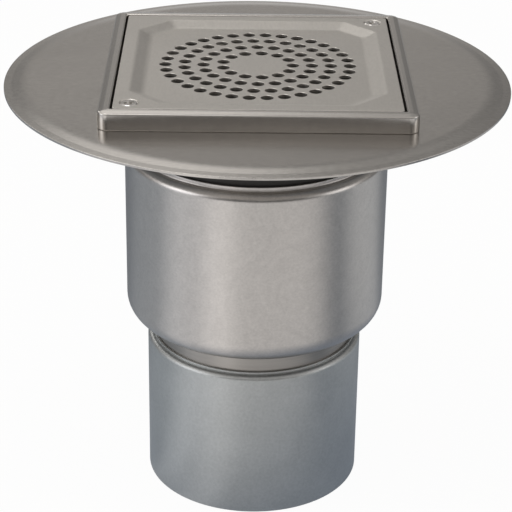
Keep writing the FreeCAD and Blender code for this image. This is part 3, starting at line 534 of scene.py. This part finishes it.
def perforation_tree():
    """Close a dish whose floor is open above and below by two faces with rings of holes between them."""
    tree = bpy.data.node_groups.new("Perforated floor", "GeometryNodeTree")
    given, result = open_sockets(tree, [
        ("Hole Radius", "NodeSocketFloat"), ("Pitch", "NodeSocketFloat"), ("Edge", "NodeSocketFloat"),
        ("Top", "NodeSocketFloat"), ("Bottom", "NodeSocketFloat"), ("First Ring", "NodeSocketInt"),
        ("Ring Step", "NodeSocketInt"), ("Rings", "NodeSocketInt"), ("Sides", "NodeSocketInt"),
        ("Material", "NodeSocketMaterial")])

    # Rings of points, each ring longer by the same number of holes
    start = add_node(tree, "GeometryNodeRepeatInput", inputs={"Iterations": given["Rings"]})
    end = add_node(tree, "GeometryNodeRepeatOutput")
    start.pair_with_output(end)
    count = add_node(tree, "ShaderNodeMath", {"operation": "MULTIPLY_ADD"}, {
        0: start.outputs["Iteration"], 1: given["Ring Step"], 2: given["First Ring"]}).outputs[0]
    length = add_node(tree, "ShaderNodeMath", {"operation": "MULTIPLY"}, {0: count, 1: given["Pitch"]})
    radius = add_node(tree, "ShaderNodeMath", {"operation": "DIVIDE"}, {0: length.outputs[0], 1: math.tau})
    circle = add_node(tree, "GeometryNodeMeshCircle", inputs={
        "Vertices": count, "Radius": radius.outputs[0]})
    joined = add_node(tree, "GeometryNodeJoinGeometry", inputs={"Geometry": start.outputs["Geometry"]})
    tree.links.new(circle.outputs["Mesh"], joined.inputs["Geometry"])
    tree.links.new(joined.outputs["Geometry"], end.inputs["Geometry"])
    points = end.outputs["Geometry"]

    # The open rims of the dish, and each face filled between its rim and its holes
    place = add_node(tree, "ShaderNodeSeparateXYZ", inputs={
        "Vector": add_node(tree, "GeometryNodeInputPosition").outputs["Position"]})
    neighbours = add_node(tree, "GeometryNodeInputMeshEdgeNeighbors")
    is_rim = add_node(tree, "FunctionNodeCompare", {"data_type": "INT", "operation": "EQUAL"}, {
        "A_INT": neighbours.outputs["Face Count"], "B_INT": 1})
    heights = add_node(tree, "ShaderNodeMath", {"operation": "ADD"}, {0: given["Top"], 1: given["Bottom"]})
    middle = add_node(tree, "ShaderNodeMath", {"operation": "MULTIPLY"}, {0: heights.outputs[0], 1: 0.5})
    wide = add_node(tree, "ShaderNodeMath", {"operation": "ADD"}, {
        0: given["Hole Radius"], 1: given["Edge"]}).outputs[0]
    parts = []
    for height, hole, operation in (
            (given["Top"], wide, "GREATER_THAN"), (given["Bottom"], given["Hole Radius"], "LESS_THAN")):
        on_side = add_node(tree, "FunctionNodeCompare", {"data_type": "FLOAT", "operation": operation}, {
            "A": place.outputs["Z"], "B": middle.outputs[0]})
        rim = add_node(tree, "FunctionNodeBooleanMath", {"operation": "AND"}, {
            0: is_rim.outputs["Result"], 1: on_side.outputs["Result"]})
        outline = add_node(tree, "GeometryNodeMeshToCurve", inputs={
            "Mesh": given["Geometry"], "Selection": rim.outputs[0]})
        hole_edge = add_node(tree, "GeometryNodeCurvePrimitiveCircle", {"mode": "RADIUS"}, {
            "Resolution": given["Sides"], "Radius": hole})
        holes = add_node(tree, "GeometryNodeInstanceOnPoints", inputs={
            "Points": points, "Instance": hole_edge.outputs["Curve"]})
        loose = add_node(tree, "GeometryNodeRealizeInstances", inputs={
            "Geometry": holes.outputs["Instances"]})
        curves = add_node(tree, "GeometryNodeJoinGeometry", inputs={"Geometry": outline.outputs["Curve"]})
        tree.links.new(loose.outputs["Geometry"], curves.inputs["Geometry"])
        face = add_node(tree, "GeometryNodeFillCurve", {"mode": "TRIANGLES"}, {
            "Curve": curves.outputs["Geometry"]})
        parts.append((face.outputs["Mesh"], height))

    # Each hole's wall: a drawn-in edge above a straight bore
    bore_top = add_node(tree, "ShaderNodeMath", {"operation": "SUBTRACT"}, {
        0: given["Top"], 1: given["Edge"]}).outputs[0]
    bore_depth = add_node(tree, "ShaderNodeMath", {"operation": "SUBTRACT"}, {
        0: bore_top, 1: given["Bottom"]}).outputs[0]
    for height, top_radius, depth in (
            (bore_top, wide, given["Edge"]), (given["Bottom"], given["Hole Radius"], bore_depth)):
        wall = add_node(tree, "GeometryNodeMeshCone", {"fill_type": "NONE"}, {
            "Vertices": given["Sides"], "Side Segments": 1, "Radius Top": top_radius,
            "Radius Bottom": given["Hole Radius"], "Depth": depth})
        parts.append((wall.outputs["Mesh"], height))

    # Faces and walls at their heights, and the walls at every hole
    lifted = []
    for mesh, height in parts:
        up = add_node(tree, "ShaderNodeCombineXYZ", inputs={"Z": height})
        moved = add_node(tree, "GeometryNodeTransform", inputs={
            "Geometry": mesh, "Translation": up.outputs["Vector"]})
        lifted.append(moved.outputs["Geometry"])
    top_face, bottom_face, edge, bore = lifted
    wall = add_node(tree, "GeometryNodeJoinGeometry", inputs={"Geometry": edge})
    tree.links.new(bore, wall.inputs["Geometry"])
    walls = add_node(tree, "GeometryNodeInstanceOnPoints", inputs={
        "Points": points, "Instance": wall.outputs["Geometry"]})
    whole = add_node(tree, "GeometryNodeJoinGeometry", inputs={"Geometry": given["Geometry"]})
    for part in (top_face, bottom_face, walls.outputs["Instances"]):
        tree.links.new(part, whole.inputs["Geometry"])
    realized = add_node(tree, "GeometryNodeRealizeInstances", inputs={
        "Geometry": whole.outputs["Geometry"]})
    welded = add_node(tree, "GeometryNodeMergeByDistance", inputs={
        "Geometry": realized.outputs["Geometry"], "Distance": WELD_DISTANCE})
    painted = add_node(tree, "GeometryNodeSetMaterial", inputs={
        "Geometry": welded.outputs["Geometry"], "Material": given["Material"]})
    tree.links.new(painted.outputs["Geometry"], result["Geometry"])
    return tree


def screw_places_tree():
    """Put one screw in each of two opposite corners, each turned as it was left."""
    tree = bpy.data.node_groups.new("Screw places", "GeometryNodeTree")
    given, result = open_sockets(tree, [
        ("Offset", "NodeSocketFloat"), ("First Turn", "NodeSocketFloat"), ("Turn Step", "NodeSocketFloat"),
        ("Material", "NodeSocketMaterial")])
    far = add_node(tree, "ShaderNodeCombineXYZ", inputs={"X": given["Offset"], "Y": given["Offset"]})
    near = add_node(tree, "ShaderNodeVectorMath", {"operation": "SCALE"}, {
        0: far.outputs[0], "Scale": -1.0})
    line = add_node(tree, "GeometryNodeMeshLine", {"mode": "END_POINTS"}, {
        "Count": 2, "Start Location": near.outputs[0], "Offset": far.outputs[0]})
    turn = add_node(tree, "ShaderNodeMath", {"operation": "MULTIPLY_ADD"}, {
        0: add_node(tree, "GeometryNodeInputIndex").outputs["Index"], 1: given["Turn Step"],
        2: given["First Turn"]})
    about_z = add_node(tree, "ShaderNodeCombineXYZ", inputs={"Z": turn.outputs[0]})
    placed = add_node(tree, "GeometryNodeInstanceOnPoints", inputs={
        "Points": line.outputs["Mesh"], "Instance": given["Geometry"], "Rotation": about_z.outputs[0]})
    realized = add_node(tree, "GeometryNodeRealizeInstances", inputs={
        "Geometry": placed.outputs["Instances"]})
    painted = add_node(tree, "GeometryNodeSetMaterial", inputs={
        "Geometry": realized.outputs["Geometry"], "Material": given["Material"]})
    tree.links.new(painted.outputs["Geometry"], result["Geometry"])
    return tree


def tube_between(node, wall, segments):
    """A plain tube with the outer size of a solid."""
    outer = HIGH[node].x
    return lathe(node, [
        (outer, LOW[node].z, 0),
        (outer, HIGH[node].z, 0),
        (outer - wall, HIGH[node].z, 0),
        (outer - wall, LOW[node].z, 0),
    ], segments)


class DRAIN_OT_outlet_pipe(bpy.types.Operator):
    """Turn the outlet pipe with its shoulder and lip, and the outlet neck that stands in it"""
    bl_idname = "drain.outlet_pipe"
    bl_label = "Outlet pipe and neck"

    def execute(self, context):
        settings = context.scene.drain
        sizes = settings.shells
        radius = HIGH["outlet_pipe"].x
        bottom = LOW["outlet_pipe"].z
        top = HIGH["outlet_pipe"].z
        wall = sizes.pipe_wall
        edge = sizes.cut_edge
        shoulder = top - sizes.pipe_lip_height
        lip = radius - sizes.pipe_shoulder_radius - sizes.pipe_ledge
        pipe = lathe("outlet_pipe", [
            (radius, bottom, edge),
            (radius, shoulder, sizes.pipe_shoulder_radius),
            (lip, shoulder, 0),
            (lip, top, edge),
            (lip - wall, top, edge),
            (lip - wall, shoulder - wall, 0),
            (radius - wall, shoulder - wall, sizes.pipe_shoulder_radius - wall),
            (radius - wall, bottom, edge),
        ], sizes.segments)
        add_piece(pipe, pickled_pipe(settings.finishes), "outlet_pipe")
        neck = tube_between("outlet_neck", sizes.outlet_neck_wall, sizes.segments)
        # The neck's material carries painted shade in its darker colour.
        add_piece(neck, turned_neck(settings.finishes), "outlet_neck")
        return {"FINISHED"}


class DRAIN_OT_trap_body(bpy.types.Operator):
    """Turn the trap body, the neck tube in its mouth and the seal between them"""
    bl_idname = "drain.trap_body"
    bl_label = "Trap body, neck and seal"

    def execute(self, context):
        settings = context.scene.drain
        sizes = settings.shells
        material = drawn_shell(settings.finishes)
        radius = HIGH["trap_body"].x
        bottom = LOW["trap_body"].z
        top = HIGH["trap_body"].z
        wall = sizes.body_wall
        edge = sizes.cut_edge
        shoulder = top - sizes.body_lip_height
        ceiling = shoulder - wall
        lip = radius - sizes.body_shoulder_radius - sizes.body_ledge
        mouth = lip - wall
        body = lathe("trap_body", [
            (sizes.outlet_hole, bottom, 0),
            (radius, bottom, sizes.body_base_radius),
            (radius, shoulder, sizes.body_shoulder_radius),
            (lip, shoulder, sizes.body_lip_fillet),
            (lip, top, edge),
            (mouth, top, edge),
            (mouth, ceiling, 0),
            (radius - wall, ceiling, sizes.body_shoulder_radius - wall),
            (radius - wall, bottom + wall, sizes.body_base_radius - wall),
            (sizes.outlet_hole, bottom + wall, 0),
        ], sizes.segments)
        add_piece(body, material, "trap_body")
        tube = tube_between("neck_tube", sizes.neck_wall, sizes.segments)
        add_piece(tube, material, "neck_tube")
        neck = HIGH["neck_tube"].x
        hook = HIGH["neck_seal"].x
        seal_top = HIGH["neck_seal"].z
        groove = sizes.neck_seal_groove
        collar = mouth - groove
        seal = lathe("neck_seal", [
            (neck, LOW["neck_seal"].z, 0),
            (hook, LOW["neck_seal"].z, edge),
            (hook, ceiling, edge),
            (mouth, ceiling, 0),
            (mouth, top - groove, 0),
            (collar, top - groove, 0),
            (collar, seal_top - (collar - neck), edge),
            (neck, seal_top, 0),
        ], sizes.segments)
        add_piece(seal, seal_rubber(settings.finishes), "neck_seal")
        return {"FINISHED"}


class DRAIN_OT_flange(bpy.types.Operator):
    """Turn the membrane flange with its collar and stepped rim"""
    bl_idname = "drain.flange"
    bl_label = "Flange"

    def execute(self, context):
        settings = context.scene.drain
        sizes = settings.flange
        edge = settings.shells.cut_edge
        rim = HIGH["flange"].x
        top = HIGH["flange"].z
        bottom = LOW["flange"].z
        sheet = sizes.sheet
        collar = HIGH["neck_tube"].x
        crease = rim - sizes.rim_band
        bend = crease - sizes.step_width
        band = top - sizes.step_drop
        mesh = lathe("flange", [
            (collar - sheet, bottom, 0),
            (collar - sheet, top, sizes.bend_radius + sheet),
            (bend, top, sizes.step_radius),
            (crease, band, sizes.crease_radius),
            (rim, band - sizes.rim_droop, edge),
            (rim, band - sizes.rim_droop - sheet, edge),
            (crease, band - sheet, sizes.crease_radius + sheet),
            (bend, top - sheet, sizes.step_radius - sheet),
            (collar, top - sheet, sizes.bend_radius),
            (collar, bottom, 0),
        ], settings.shells.segments)
        add_piece(mesh, rolled_sheet(settings.finishes), "flange")
        return {"FINISHED"}


def dish_corner(sizes, half):
    """Where the sides of an eight-sided loop of the dish end, for a loop whose sides lie at half."""
    dish_half = HIGH["grate"].x - sizes.border
    return dish_half - sizes.corner_cut + (half - dish_half) * EIGHT_SIDED_SHARE


def sheet_shift(sizes):
    """How far the dish's underside stands out from its top side, in plan."""
    return sizes.sheet * math.tan(math.atan(sizes.dish_depth / sizes.bevel) / 2)


def screw_offset(settings):
    """How far each screw lies from the drain's axis, both sideways and front to back."""
    return HIGH["grate"].x - settings.screws.inset


class DRAIN_OT_frame(bpy.types.Operator):
    """Build the pressed tile frame with its rim, skirt and tabs"""
    bl_idname = "drain.frame"
    bl_label = "Frame"

    def execute(self, context):
        settings = context.scene.drain
        sizes = settings.frame
        half = HIGH["frame"].x
        top = HIGH["frame"].z
        bottom = LOW["frame"].z
        seat = HIGH["grate"].z - settings.grate.sheet
        opening = half - sizes.rim
        middle = top - sizes.inner_fall
        edge = settings.shells.cut_edge
        section = rounded([
            (opening, seat - sizes.sheet, edge),
            (opening, top, sizes.inner_edge_radius),
            (half - sizes.rim / 2, middle, sizes.crown_radius),
            (half - sizes.skirt_lean, middle - sizes.outer_fall, sizes.edge_radius),
            (half, (top + bottom) / 2, sizes.skirt_bend),
            (half, bottom, sizes.foot_radius),
            (half - sizes.sheet, bottom, edge),
            (half - sizes.sheet, top - sizes.sheet, edge),
            (opening + sizes.sheet, top - sizes.sheet, edge),
            (opening + sizes.sheet, seat - sizes.sheet, edge),
        ])
        bm = bmesh.new()
        loops = []
        for reach, height in section:
            radius = max(sizes.corner_radius - (half - reach), sizes.inner_corner_radius)
            loops.append(square_loop(bm, reach, radius, height))
        bridge(bm, loops, closed=True)

        # Two tabs at the front and two at the back, let into the rim's inner wall, two with screw holes
        wide = opening - sizes.tab_setback
        near = wide - sizes.tab_width
        wall = opening + sizes.sheet / 2
        hole = settings.screws.shank_diameter / 2 + settings.screws.clearance
        for side, end in ((-1, -1), (1, -1), (1, 1), (-1, 1)):
            corners = ((wide, near), (wide, wall), (near, wall), (near, near))
            faces = []
            for height in (seat, seat - sizes.sheet):
                outlines = [[bm.verts.new((side * x, end * y, height)) for x, y in corners]]
                if side == end:
                    offset = side * screw_offset(settings)
                    outlines.append(ring(bm, hole, height, TAB_HOLE_STEPS, offset, offset))
                fill_flat(bm, outlines)
                faces.append(outlines)
            for upper, lower in zip(*faces):
                bridge(bm, [upper, lower])
        add_piece(mesh_from(bm, "frame"), folded_sheet(settings.finishes), "frame")
        return {"FINISHED"}


class DRAIN_OT_grate(bpy.types.Operator):
    """Build the dished grate and punch its rings of holes"""
    bl_idname = "drain.grate"
    bl_label = "Grate"

    def execute(self, context):
        settings = context.scene.drain
        sizes = settings.grate
        half = HIGH["grate"].x
        top = HIGH["grate"].z
        sheet = sizes.sheet
        floor = top - sizes.dish_depth
        edge = settings.shells.cut_edge
        dish = half - sizes.border
        foot = dish - sizes.bevel
        shift = sheet_shift(sizes)

        bm = bmesh.new()
        rim = half - FLAT_STRIP
        side = []
        for reach, height in rounded([
                (rim, top, 0), (half, top, edge), (half, top - sheet, edge), (rim, top - sheet, 0)]):
            side.append(square_loop(bm, reach, sizes.corner_radius, height))
        bridge(bm, side)

        slopes = []
        for corners in (
                [(dish + FLAT_STRIP, top, 0),
                 (dish, top, sizes.dish_bend),
                 (foot, floor, sizes.floor_bend),
                 (foot - FLAT_STRIP, floor, 0)],
                [(dish + shift + FLAT_STRIP, top - sheet, 0),
                 (dish + shift, top - sheet, sizes.dish_bend - sheet),
                 (foot + shift, floor - sheet, sizes.floor_bend + sheet),
                 (foot + shift - FLAT_STRIP, floor - sheet, 0)]):
            slope = [eight_sided_loop(bm, reach, dish_corner(sizes, reach), height)
                     for reach, height in rounded(corners)]
            bridge(bm, slope)
            slopes.append(slope)

        # The border above and below, with countersinks between its two faces
        sink = settings.screws.sink_diameter / 2
        offset = screw_offset(settings)
        rims = []
        for outer, slope, height, radius in (
                (side[0], slopes[0], top, sink), (side[-1], slopes[1], top - sheet, sink - sheet)):
            holes = [ring(bm, radius, height, SCREW_STEPS, place, place) for place in (offset, -offset)]
            fill_flat(bm, [outer, slope[0], *holes])
            rims.append(holes)
        for upper, lower in zip(*rims):
            bridge(bm, [upper, lower])

        pan = bpy.data.meshes.new("grate_pan")
        bm.to_mesh(pan)
        bm.free()
        material = pressed_sheet(settings.finishes)
        mesh = grow(pan, "grate", perforation_tree, {
            "Hole Radius": sizes.hole_diameter / 2, "Pitch": sizes.hole_pitch, "Edge": sizes.hole_edge,
            "Top": floor, "Bottom": floor - sheet, "First Ring": sizes.first_ring,
            "Ring Step": sizes.ring_step, "Rings": sizes.ring_count, "Sides": sizes.hole_sides,
            "Material": material})
        add_piece(mesh, material, "grate")
        return {"FINISHED"}


def cross_loop(bm, length, width, height):
    """A loop round a cross."""
    arm, side = length / 2, width / 2
    corners = []
    for quarter in range(4):
        turn = Matrix.Rotation(quarter * math.pi / 2, 2)
        corners += [turn @ Vector(corner) for corner in ((side, side), (side, arm), (-side, arm))]
    return [bm.verts.new((*corner, height)) for corner in corners]


class DRAIN_OT_grate_screws(bpy.types.Operator):
    """Build the countersunk screws with their cross recesses, and finish the nuts below them"""
    bl_idname = "drain.grate_screws"
    bl_label = "Screws and nuts"

    def execute(self, context):
        settings = context.scene.drain
        sizes = settings.screws
        top = HIGH["grate_screws"].z
        head = sizes.head_diameter / 2
        shank = sizes.shank_diameter / 2
        edge = sizes.head_edge
        bm = bmesh.new()
        brim = top - sizes.head_bevel_drop
        outline = [(head - sizes.head_bevel, top), (head, brim), (head, brim - edge),
                   (shank, brim - edge - head + shank), (shank, LOW["grate_screws"].z)]
        loops = [ring(bm, radius, height, SCREW_STEPS) for radius, height in outline]
        bridge(bm, loops)
        fill_flat(bm, [loops[-1]])
        mouth = cross_loop(bm, sizes.recess_length, sizes.recess_width, top)
        bed = cross_loop(bm, sizes.recess_length / 2, sizes.recess_width / 2, top - sizes.recess_depth)
        bridge(bm, [mouth, bed])
        fill_flat(bm, [bed])
        fill_flat(bm, [loops[0], mouth])
        screw = bpy.data.meshes.new("grate_screw")
        bm.to_mesh(screw)
        bm.free()
        material = turned_screw(settings.finishes)
        mesh = grow(screw, "grate_screws", screw_places_tree, {
            "Offset": screw_offset(settings), "First Turn": sizes.first_turn, "Turn Step": sizes.turn_step,
            "Material": material})
        add_piece(mesh, material, "grate_screws")
        keep_node("weld_nuts", material)
        return {"FINISHED"}


class DRAIN_OT_trap_insert(bpy.types.Operator):
    """Turn the standpipe, its seal and the bell, and finish the bell's spacers and handle"""
    bl_idname = "drain.trap_insert"
    bl_label = "Trap insert"

    def execute(self, context):
        settings = context.scene.drain
        sizes = settings.trap
        segments = settings.shells.segments
        material = dull_insert(settings.finishes)
        edge = settings.shells.cut_edge
        outer = sizes.riser_radius
        inner = outer - sizes.riser_wall
        foot = HIGH["standpipe"].x
        under = LOW["trap_body"].z + settings.shells.body_wall + sizes.seal_sheet
        riser = lathe("standpipe", [
            (inner, LOW["standpipe"].z, edge),
            (inner, HIGH["standpipe"].z, edge),
            (outer, HIGH["standpipe"].z, edge),
            (outer, under + sizes.riser_wall, edge),
            (foot, under + sizes.riser_wall, edge),
            (foot, under, edge),
            (outer, under, 0),
            (outer, LOW["standpipe"].z, edge),
        ], segments)
        add_piece(riser, material, "standpipe")
        hole = settings.shells.outlet_hole
        seal = lathe("standpipe_seal", [
            (outer, LOW["standpipe_seal"].z, edge),
            (outer, under, 0),
            (foot, under, edge),
            (foot, under - sizes.seal_sheet, edge),
            (hole, under - sizes.seal_sheet, 0),
            (hole, LOW["standpipe_seal"].z, edge),
        ], segments)
        add_piece(seal, seal_rubber(settings.finishes), "standpipe_seal")
        radius = HIGH["bell"].x
        crown = HIGH["bell"].z
        wall = sizes.bell_wall
        bell = lathe("bell", [
            (radius, LOW["bell"].z, edge),
            (radius, crown, sizes.crown_radius),
            (0, crown, 0),
            (0, crown - wall, 0),
            (radius - wall, crown - wall, sizes.crown_radius - wall),
            (radius - wall, LOW["bell"].z, edge),
        ], segments)
        add_piece(bell, material, "bell")
        keep_node("bell_spacers", material)
        keep_node("bell_handle", material)
        return {"FINISHED"}


# Stage

# Soft panels round the stage: degrees to the right of the front and above the horizon, the half angle that
# is evenly lit, the half angle where it has faded out, colour and strength. A weak light is all round.
PANELS = {
    "backdrop": (180, 15, 9, 12.5, "#FFF9F3", 0.2),
    "back key": (-169, 40, 6, 14, "#FFFDFA", 0.94),
    "back high": (180, 53, 5, 12, "#FFFDFA", 0.28),
    "back right": (166, 38, 3, 14, "#FFFDFA", 0.2),
    "low left": (-156, 0, 6, 16, "#FFFDFA", 0.12),
    "low right": (156, 0, 6, 16, "#FFFDFA", 0.16),
    "back ceiling": (180, 70, 8, 20, "#FFFDFA", 0.26),
    "back horizon": (180, -2, 5, 14, "#FFFFFF", 0.38),
    "back left": (-146, 30, 5, 13, "#FFFDFA", 2.2),
    "back fill": (180, 20, 50, 100, "#FFFDFB", 0.135),
    "left bank": (-68, 10, 8, 24, "#F8FAFF", 2.0),
    "left sky": (-72, 46, 30, 50, "#FFFBF8", 0.8),
    "right bank": (75, 10, 6, 20, "#FFFFFF", 1.4),
    "right sky": (76, 46, 30, 50, "#FFFBF8", 0.5),
    "front fill": (6, 36, 12, 21, "#FFFBF8", 0.5),
}
AMBIENT = ("#FFFDFB", 0.095)

# Broad beams on the floor, as the steel mirrors them, given as the panels are, and the floor's plain light
BEAMS = {
    "front left": (-48, 0, 4, 38, "#FFFCFB", 0.56),
    "front": (10, 0, 30, 61, "#FFF9F3", 0.63),
    "left": (-95, 0, 8, 45, "#F4FAFF", 0.23),
    "right": (102, 0, 5, 33, "#FFFEFC", 0.42),
}
FLOOR_LIGHT = ("#E2ECF8", 0.28)

# The drain's soft shadow on the floor, as the steel mirrors it: its middle, how far from there it starts to
# fade and is gone, in metres, and the light that is left in it
SHADOW_MIDDLE = (0.06, 0.0, 0.0)
SHADOW_START = 0.02
SHADOW_END = 0.25
SHADOW_LIGHT = ("#DCE8FA", 0.38)

# The floor's size, and how much of it the camera sees as plain white, without the drain's shadow
FLOOR_RADIUS = 3.0
FLOOR_STEPS = 64
WHITE_SHARE = 0.96

# A weak lamp above the drain: place, the point it faces and width, in metres, and power in watts
LAMP_PLACE = (-0.35, -0.25, 1.3)
LAMP_AIM = (0.0, 0.0, 0.15)
LAMP_WIDTH = 0.6
LAMP_POWER = 2.5


def tinted(hex_code, strength):
    """A colour at a strength, as red, green and blue."""
    return [channel * strength for channel in linear(hex_code)]


def sum_of_lights(tree, look, lights, plain):
    """Add up soft lights that each show round one direction, over a plain light that shows all round."""
    total = tinted(*plain)
    for azimuth, elevation, even, faded, hex_code, strength in lights.values():
        turn, up = math.radians(azimuth), math.radians(elevation)
        towards = (math.sin(turn) * math.cos(up), -math.cos(turn) * math.cos(up), math.sin(up))
        facing = add_node(tree, "ShaderNodeVectorMath", {"operation": "DOT_PRODUCT"}, {0: look, 1: towards})
        share = add_node(tree, "ShaderNodeMapRange", {"interpolation_type": "SMOOTHSTEP"}, {
            "Value": facing.outputs["Value"], "From Min": math.cos(math.radians(faded)),
            "From Max": math.cos(math.radians(even)), "To Min": 0.0, "To Max": 1.0})
        total = add_node(tree, "ShaderNodeVectorMath", {"operation": "MULTIPLY_ADD"}, {
            0: share.outputs["Result"], 1: tinted(hex_code, strength), 2: total}).outputs["Vector"]
    return total


def studio_floor(stage):
    """Matte painted floor that the camera sees as nearly white, with a trace of the drain's shadow. Steel
    mirrors it as broad soft beams that give way to a dim cool light near the drain."""
    material = bpy.data.materials.new("Matte studio floor")
    material.use_nodes = True
    tree = material.node_tree
    shader = tree.nodes["Principled BSDF"]
    shader.inputs["Base Color"].default_value = (*stage.floor, 1.0)
    shader.inputs["Roughness"].default_value = 0.9
    shader.inputs["Specular IOR Level"].default_value = 0.0
    place = add_node(tree, "ShaderNodeTexCoord").outputs["Object"]
    outwards = add_node(tree, "ShaderNodeVectorMath", {"operation": "NORMALIZE"}, {0: place})
    beams = sum_of_lights(tree, outwards.outputs["Vector"], BEAMS, FLOOR_LIGHT)
    away = add_node(tree, "ShaderNodeVectorMath", {"operation": "DISTANCE"}, {0: place, 1: SHADOW_MIDDLE})
    near = add_node(tree, "ShaderNodeMapRange", {"interpolation_type": "SMOOTHSTEP"}, {
        "Value": away.outputs["Value"], "From Min": SHADOW_START, "From Max": SHADOW_END, "To Min": 0.0,
        "To Max": 1.0})
    shaded = add_node(tree, "ShaderNodeMix", {"data_type": "VECTOR"}, {
        "Factor_Float": near.outputs["Result"], "A_Vector": tinted(*SHADOW_LIGHT), "B_Vector": beams})
    mirrored = add_node(tree, "ShaderNodeEmission", inputs={
        "Color": shaded.outputs[MIXED_VECTOR], "Strength": 1.0})
    rays = add_node(tree, "ShaderNodeLightPath").outputs
    lit = add_node(tree, "ShaderNodeMixShader", inputs={
        0: rays["Is Glossy Ray"], 1: shader.outputs["BSDF"], 2: mirrored.outputs["Emission"]})
    seen = add_node(tree, "ShaderNodeMath", {"operation": "MAXIMUM"}, {
        0: rays["Is Camera Ray"], 1: rays["Is Transmission Ray"]})
    share = add_node(tree, "ShaderNodeMath", {"operation": "MULTIPLY"}, {
        0: seen.outputs[0], 1: WHITE_SHARE})
    white = add_node(tree, "ShaderNodeEmission", inputs={"Color": (1, 1, 1, 1), "Strength": 1.0})
    mixed = add_node(tree, "ShaderNodeMixShader", inputs={
        0: share.outputs[0], 1: lit.outputs["Shader"], 2: white.outputs["Emission"]})
    tree.links.new(mixed.outputs["Shader"], tree.nodes["Material Output"].inputs["Surface"])
    return material


def studio_world():
    """Soft panels all round. The camera sees plain white."""
    world = bpy.data.worlds.new("Studio")
    world.use_nodes = True
    tree = world.node_tree
    look = add_node(tree, "ShaderNodeTexCoord").outputs["Generated"]
    total = sum_of_lights(tree, look, PANELS, AMBIENT)
    soft = tree.nodes["Background"]
    tree.links.new(total, soft.inputs["Color"])
    white = add_node(tree, "ShaderNodeBackground", inputs={"Color": (1, 1, 1, 1), "Strength": 1.0})
    rays = add_node(tree, "ShaderNodeLightPath").outputs
    seen = add_node(tree, "ShaderNodeMath", {"operation": "MAXIMUM"}, {
        0: rays["Is Camera Ray"], 1: rays["Is Transmission Ray"]})
    mixed = add_node(tree, "ShaderNodeMixShader", inputs={
        0: seen.outputs[0], 1: soft.outputs["Background"], 2: white.outputs["Background"]})
    tree.links.new(mixed.outputs["Shader"], tree.nodes["World Output"].inputs["Surface"])
    bpy.context.scene.world = world


def add_softbox():
    """A soft lamp that faces the drain from above."""
    lamp = bpy.data.lights.new("key_softbox", "AREA")
    lamp.shape = "SQUARE"
    lamp.size = LAMP_WIDTH
    lamp.energy = LAMP_POWER
    holder = bpy.data.objects.new("key_softbox", lamp)
    holder.location = LAMP_PLACE
    holder.rotation_mode = "QUATERNION"
    holder.rotation_quaternion = (Vector(LAMP_AIM) - Vector(LAMP_PLACE)).to_track_quat("-Z", "Y")
    bpy.context.scene.collection.objects.link(holder)


class DRAIN_OT_stage(bpy.types.Operator):
    """Set the floor, the light and the camera"""
    bl_idname = "drain.stage"
    bl_label = "Stage"

    def execute(self, context):
        stage = context.scene.drain.stage
        bm = bmesh.new()
        bmesh.ops.create_circle(bm, cap_ends=True, radius=FLOOR_RADIUS, segments=FLOOR_STEPS)
        mesh = bpy.data.meshes.new("floor")
        bm.to_mesh(mesh)
        bm.free()
        mesh.materials.append(studio_floor(stage))
        floor = bpy.data.objects.new("floor", mesh)
        floor.location.z = LOW["outlet_pipe"].z
        context.scene.collection.objects.link(floor)
        studio_world()
        add_softbox()

        aim = Vector((stage.aim_side, 0, stage.aim_height))
        level = math.cos(stage.elevation)
        back = Vector((math.sin(stage.azimuth) * level, -math.cos(stage.azimuth) * level,
                       math.sin(stage.elevation)))
        lens = bpy.data.cameras.new("camera")
        lens.lens = stage.lens
        camera = bpy.data.objects.new("camera", lens)
        camera.location = aim + back * stage.distance
        camera.rotation_mode = "QUATERNION"
        camera.rotation_quaternion = (-back).to_track_quat("-Z", "Y") @ Quaternion((0, 0, 1), stage.roll)
        context.scene.collection.objects.link(camera)
        context.scene.camera = camera
        context.scene.view_settings.view_transform = "Standard"
        return {"FINISHED"}


class DRAIN_PT_panel(bpy.types.Panel):
    """Buttons and settings of the drain"""
    bl_idname = "DRAIN_PT_panel"
    bl_label = "Floor drain"
    bl_space_type = "VIEW_3D"
    bl_region_type = "UI"
    bl_category = "Floor drain"

    def draw(self, context):
        for operator in OPERATORS:
            self.layout.operator(operator.bl_idname)
        for group in DrainSettings.__annotations__:
            box = self.layout.box()
            box.label(text=group.capitalize())
            settings = getattr(context.scene.drain, group)
            for name in settings.__annotations__:
                box.prop(settings, name)


GROUPS = (ShellSizes, FlangeSizes, FrameSizes, GrateSizes, ScrewSizes, TrapSizes, Finishes, StageSettings,
          DrainSettings)
OPERATORS = (DRAIN_OT_outlet_pipe, DRAIN_OT_trap_body, DRAIN_OT_flange, DRAIN_OT_frame, DRAIN_OT_grate,
             DRAIN_OT_grate_screws, DRAIN_OT_trap_insert, DRAIN_OT_stage)


def register():
    for item in (*GROUPS, *OPERATORS, DRAIN_PT_panel):
        bpy.utils.register_class(item)
    bpy.types.Scene.drain = PointerProperty(type=DrainSettings)


def unregister():
    del bpy.types.Scene.drain
    for item in reversed((*GROUPS, *OPERATORS, DRAIN_PT_panel)):
        bpy.utils.unregister_class(item)


def main():
    register()
    bpy.ops.drain.outlet_pipe()
    bpy.ops.drain.trap_body()
    bpy.ops.drain.flange()
    bpy.ops.drain.frame()
    bpy.ops.drain.grate()
    bpy.ops.drain.grate_screws()
    bpy.ops.drain.trap_insert()
    bpy.ops.drain.stage()


if __name__ == "__main__":
    main()
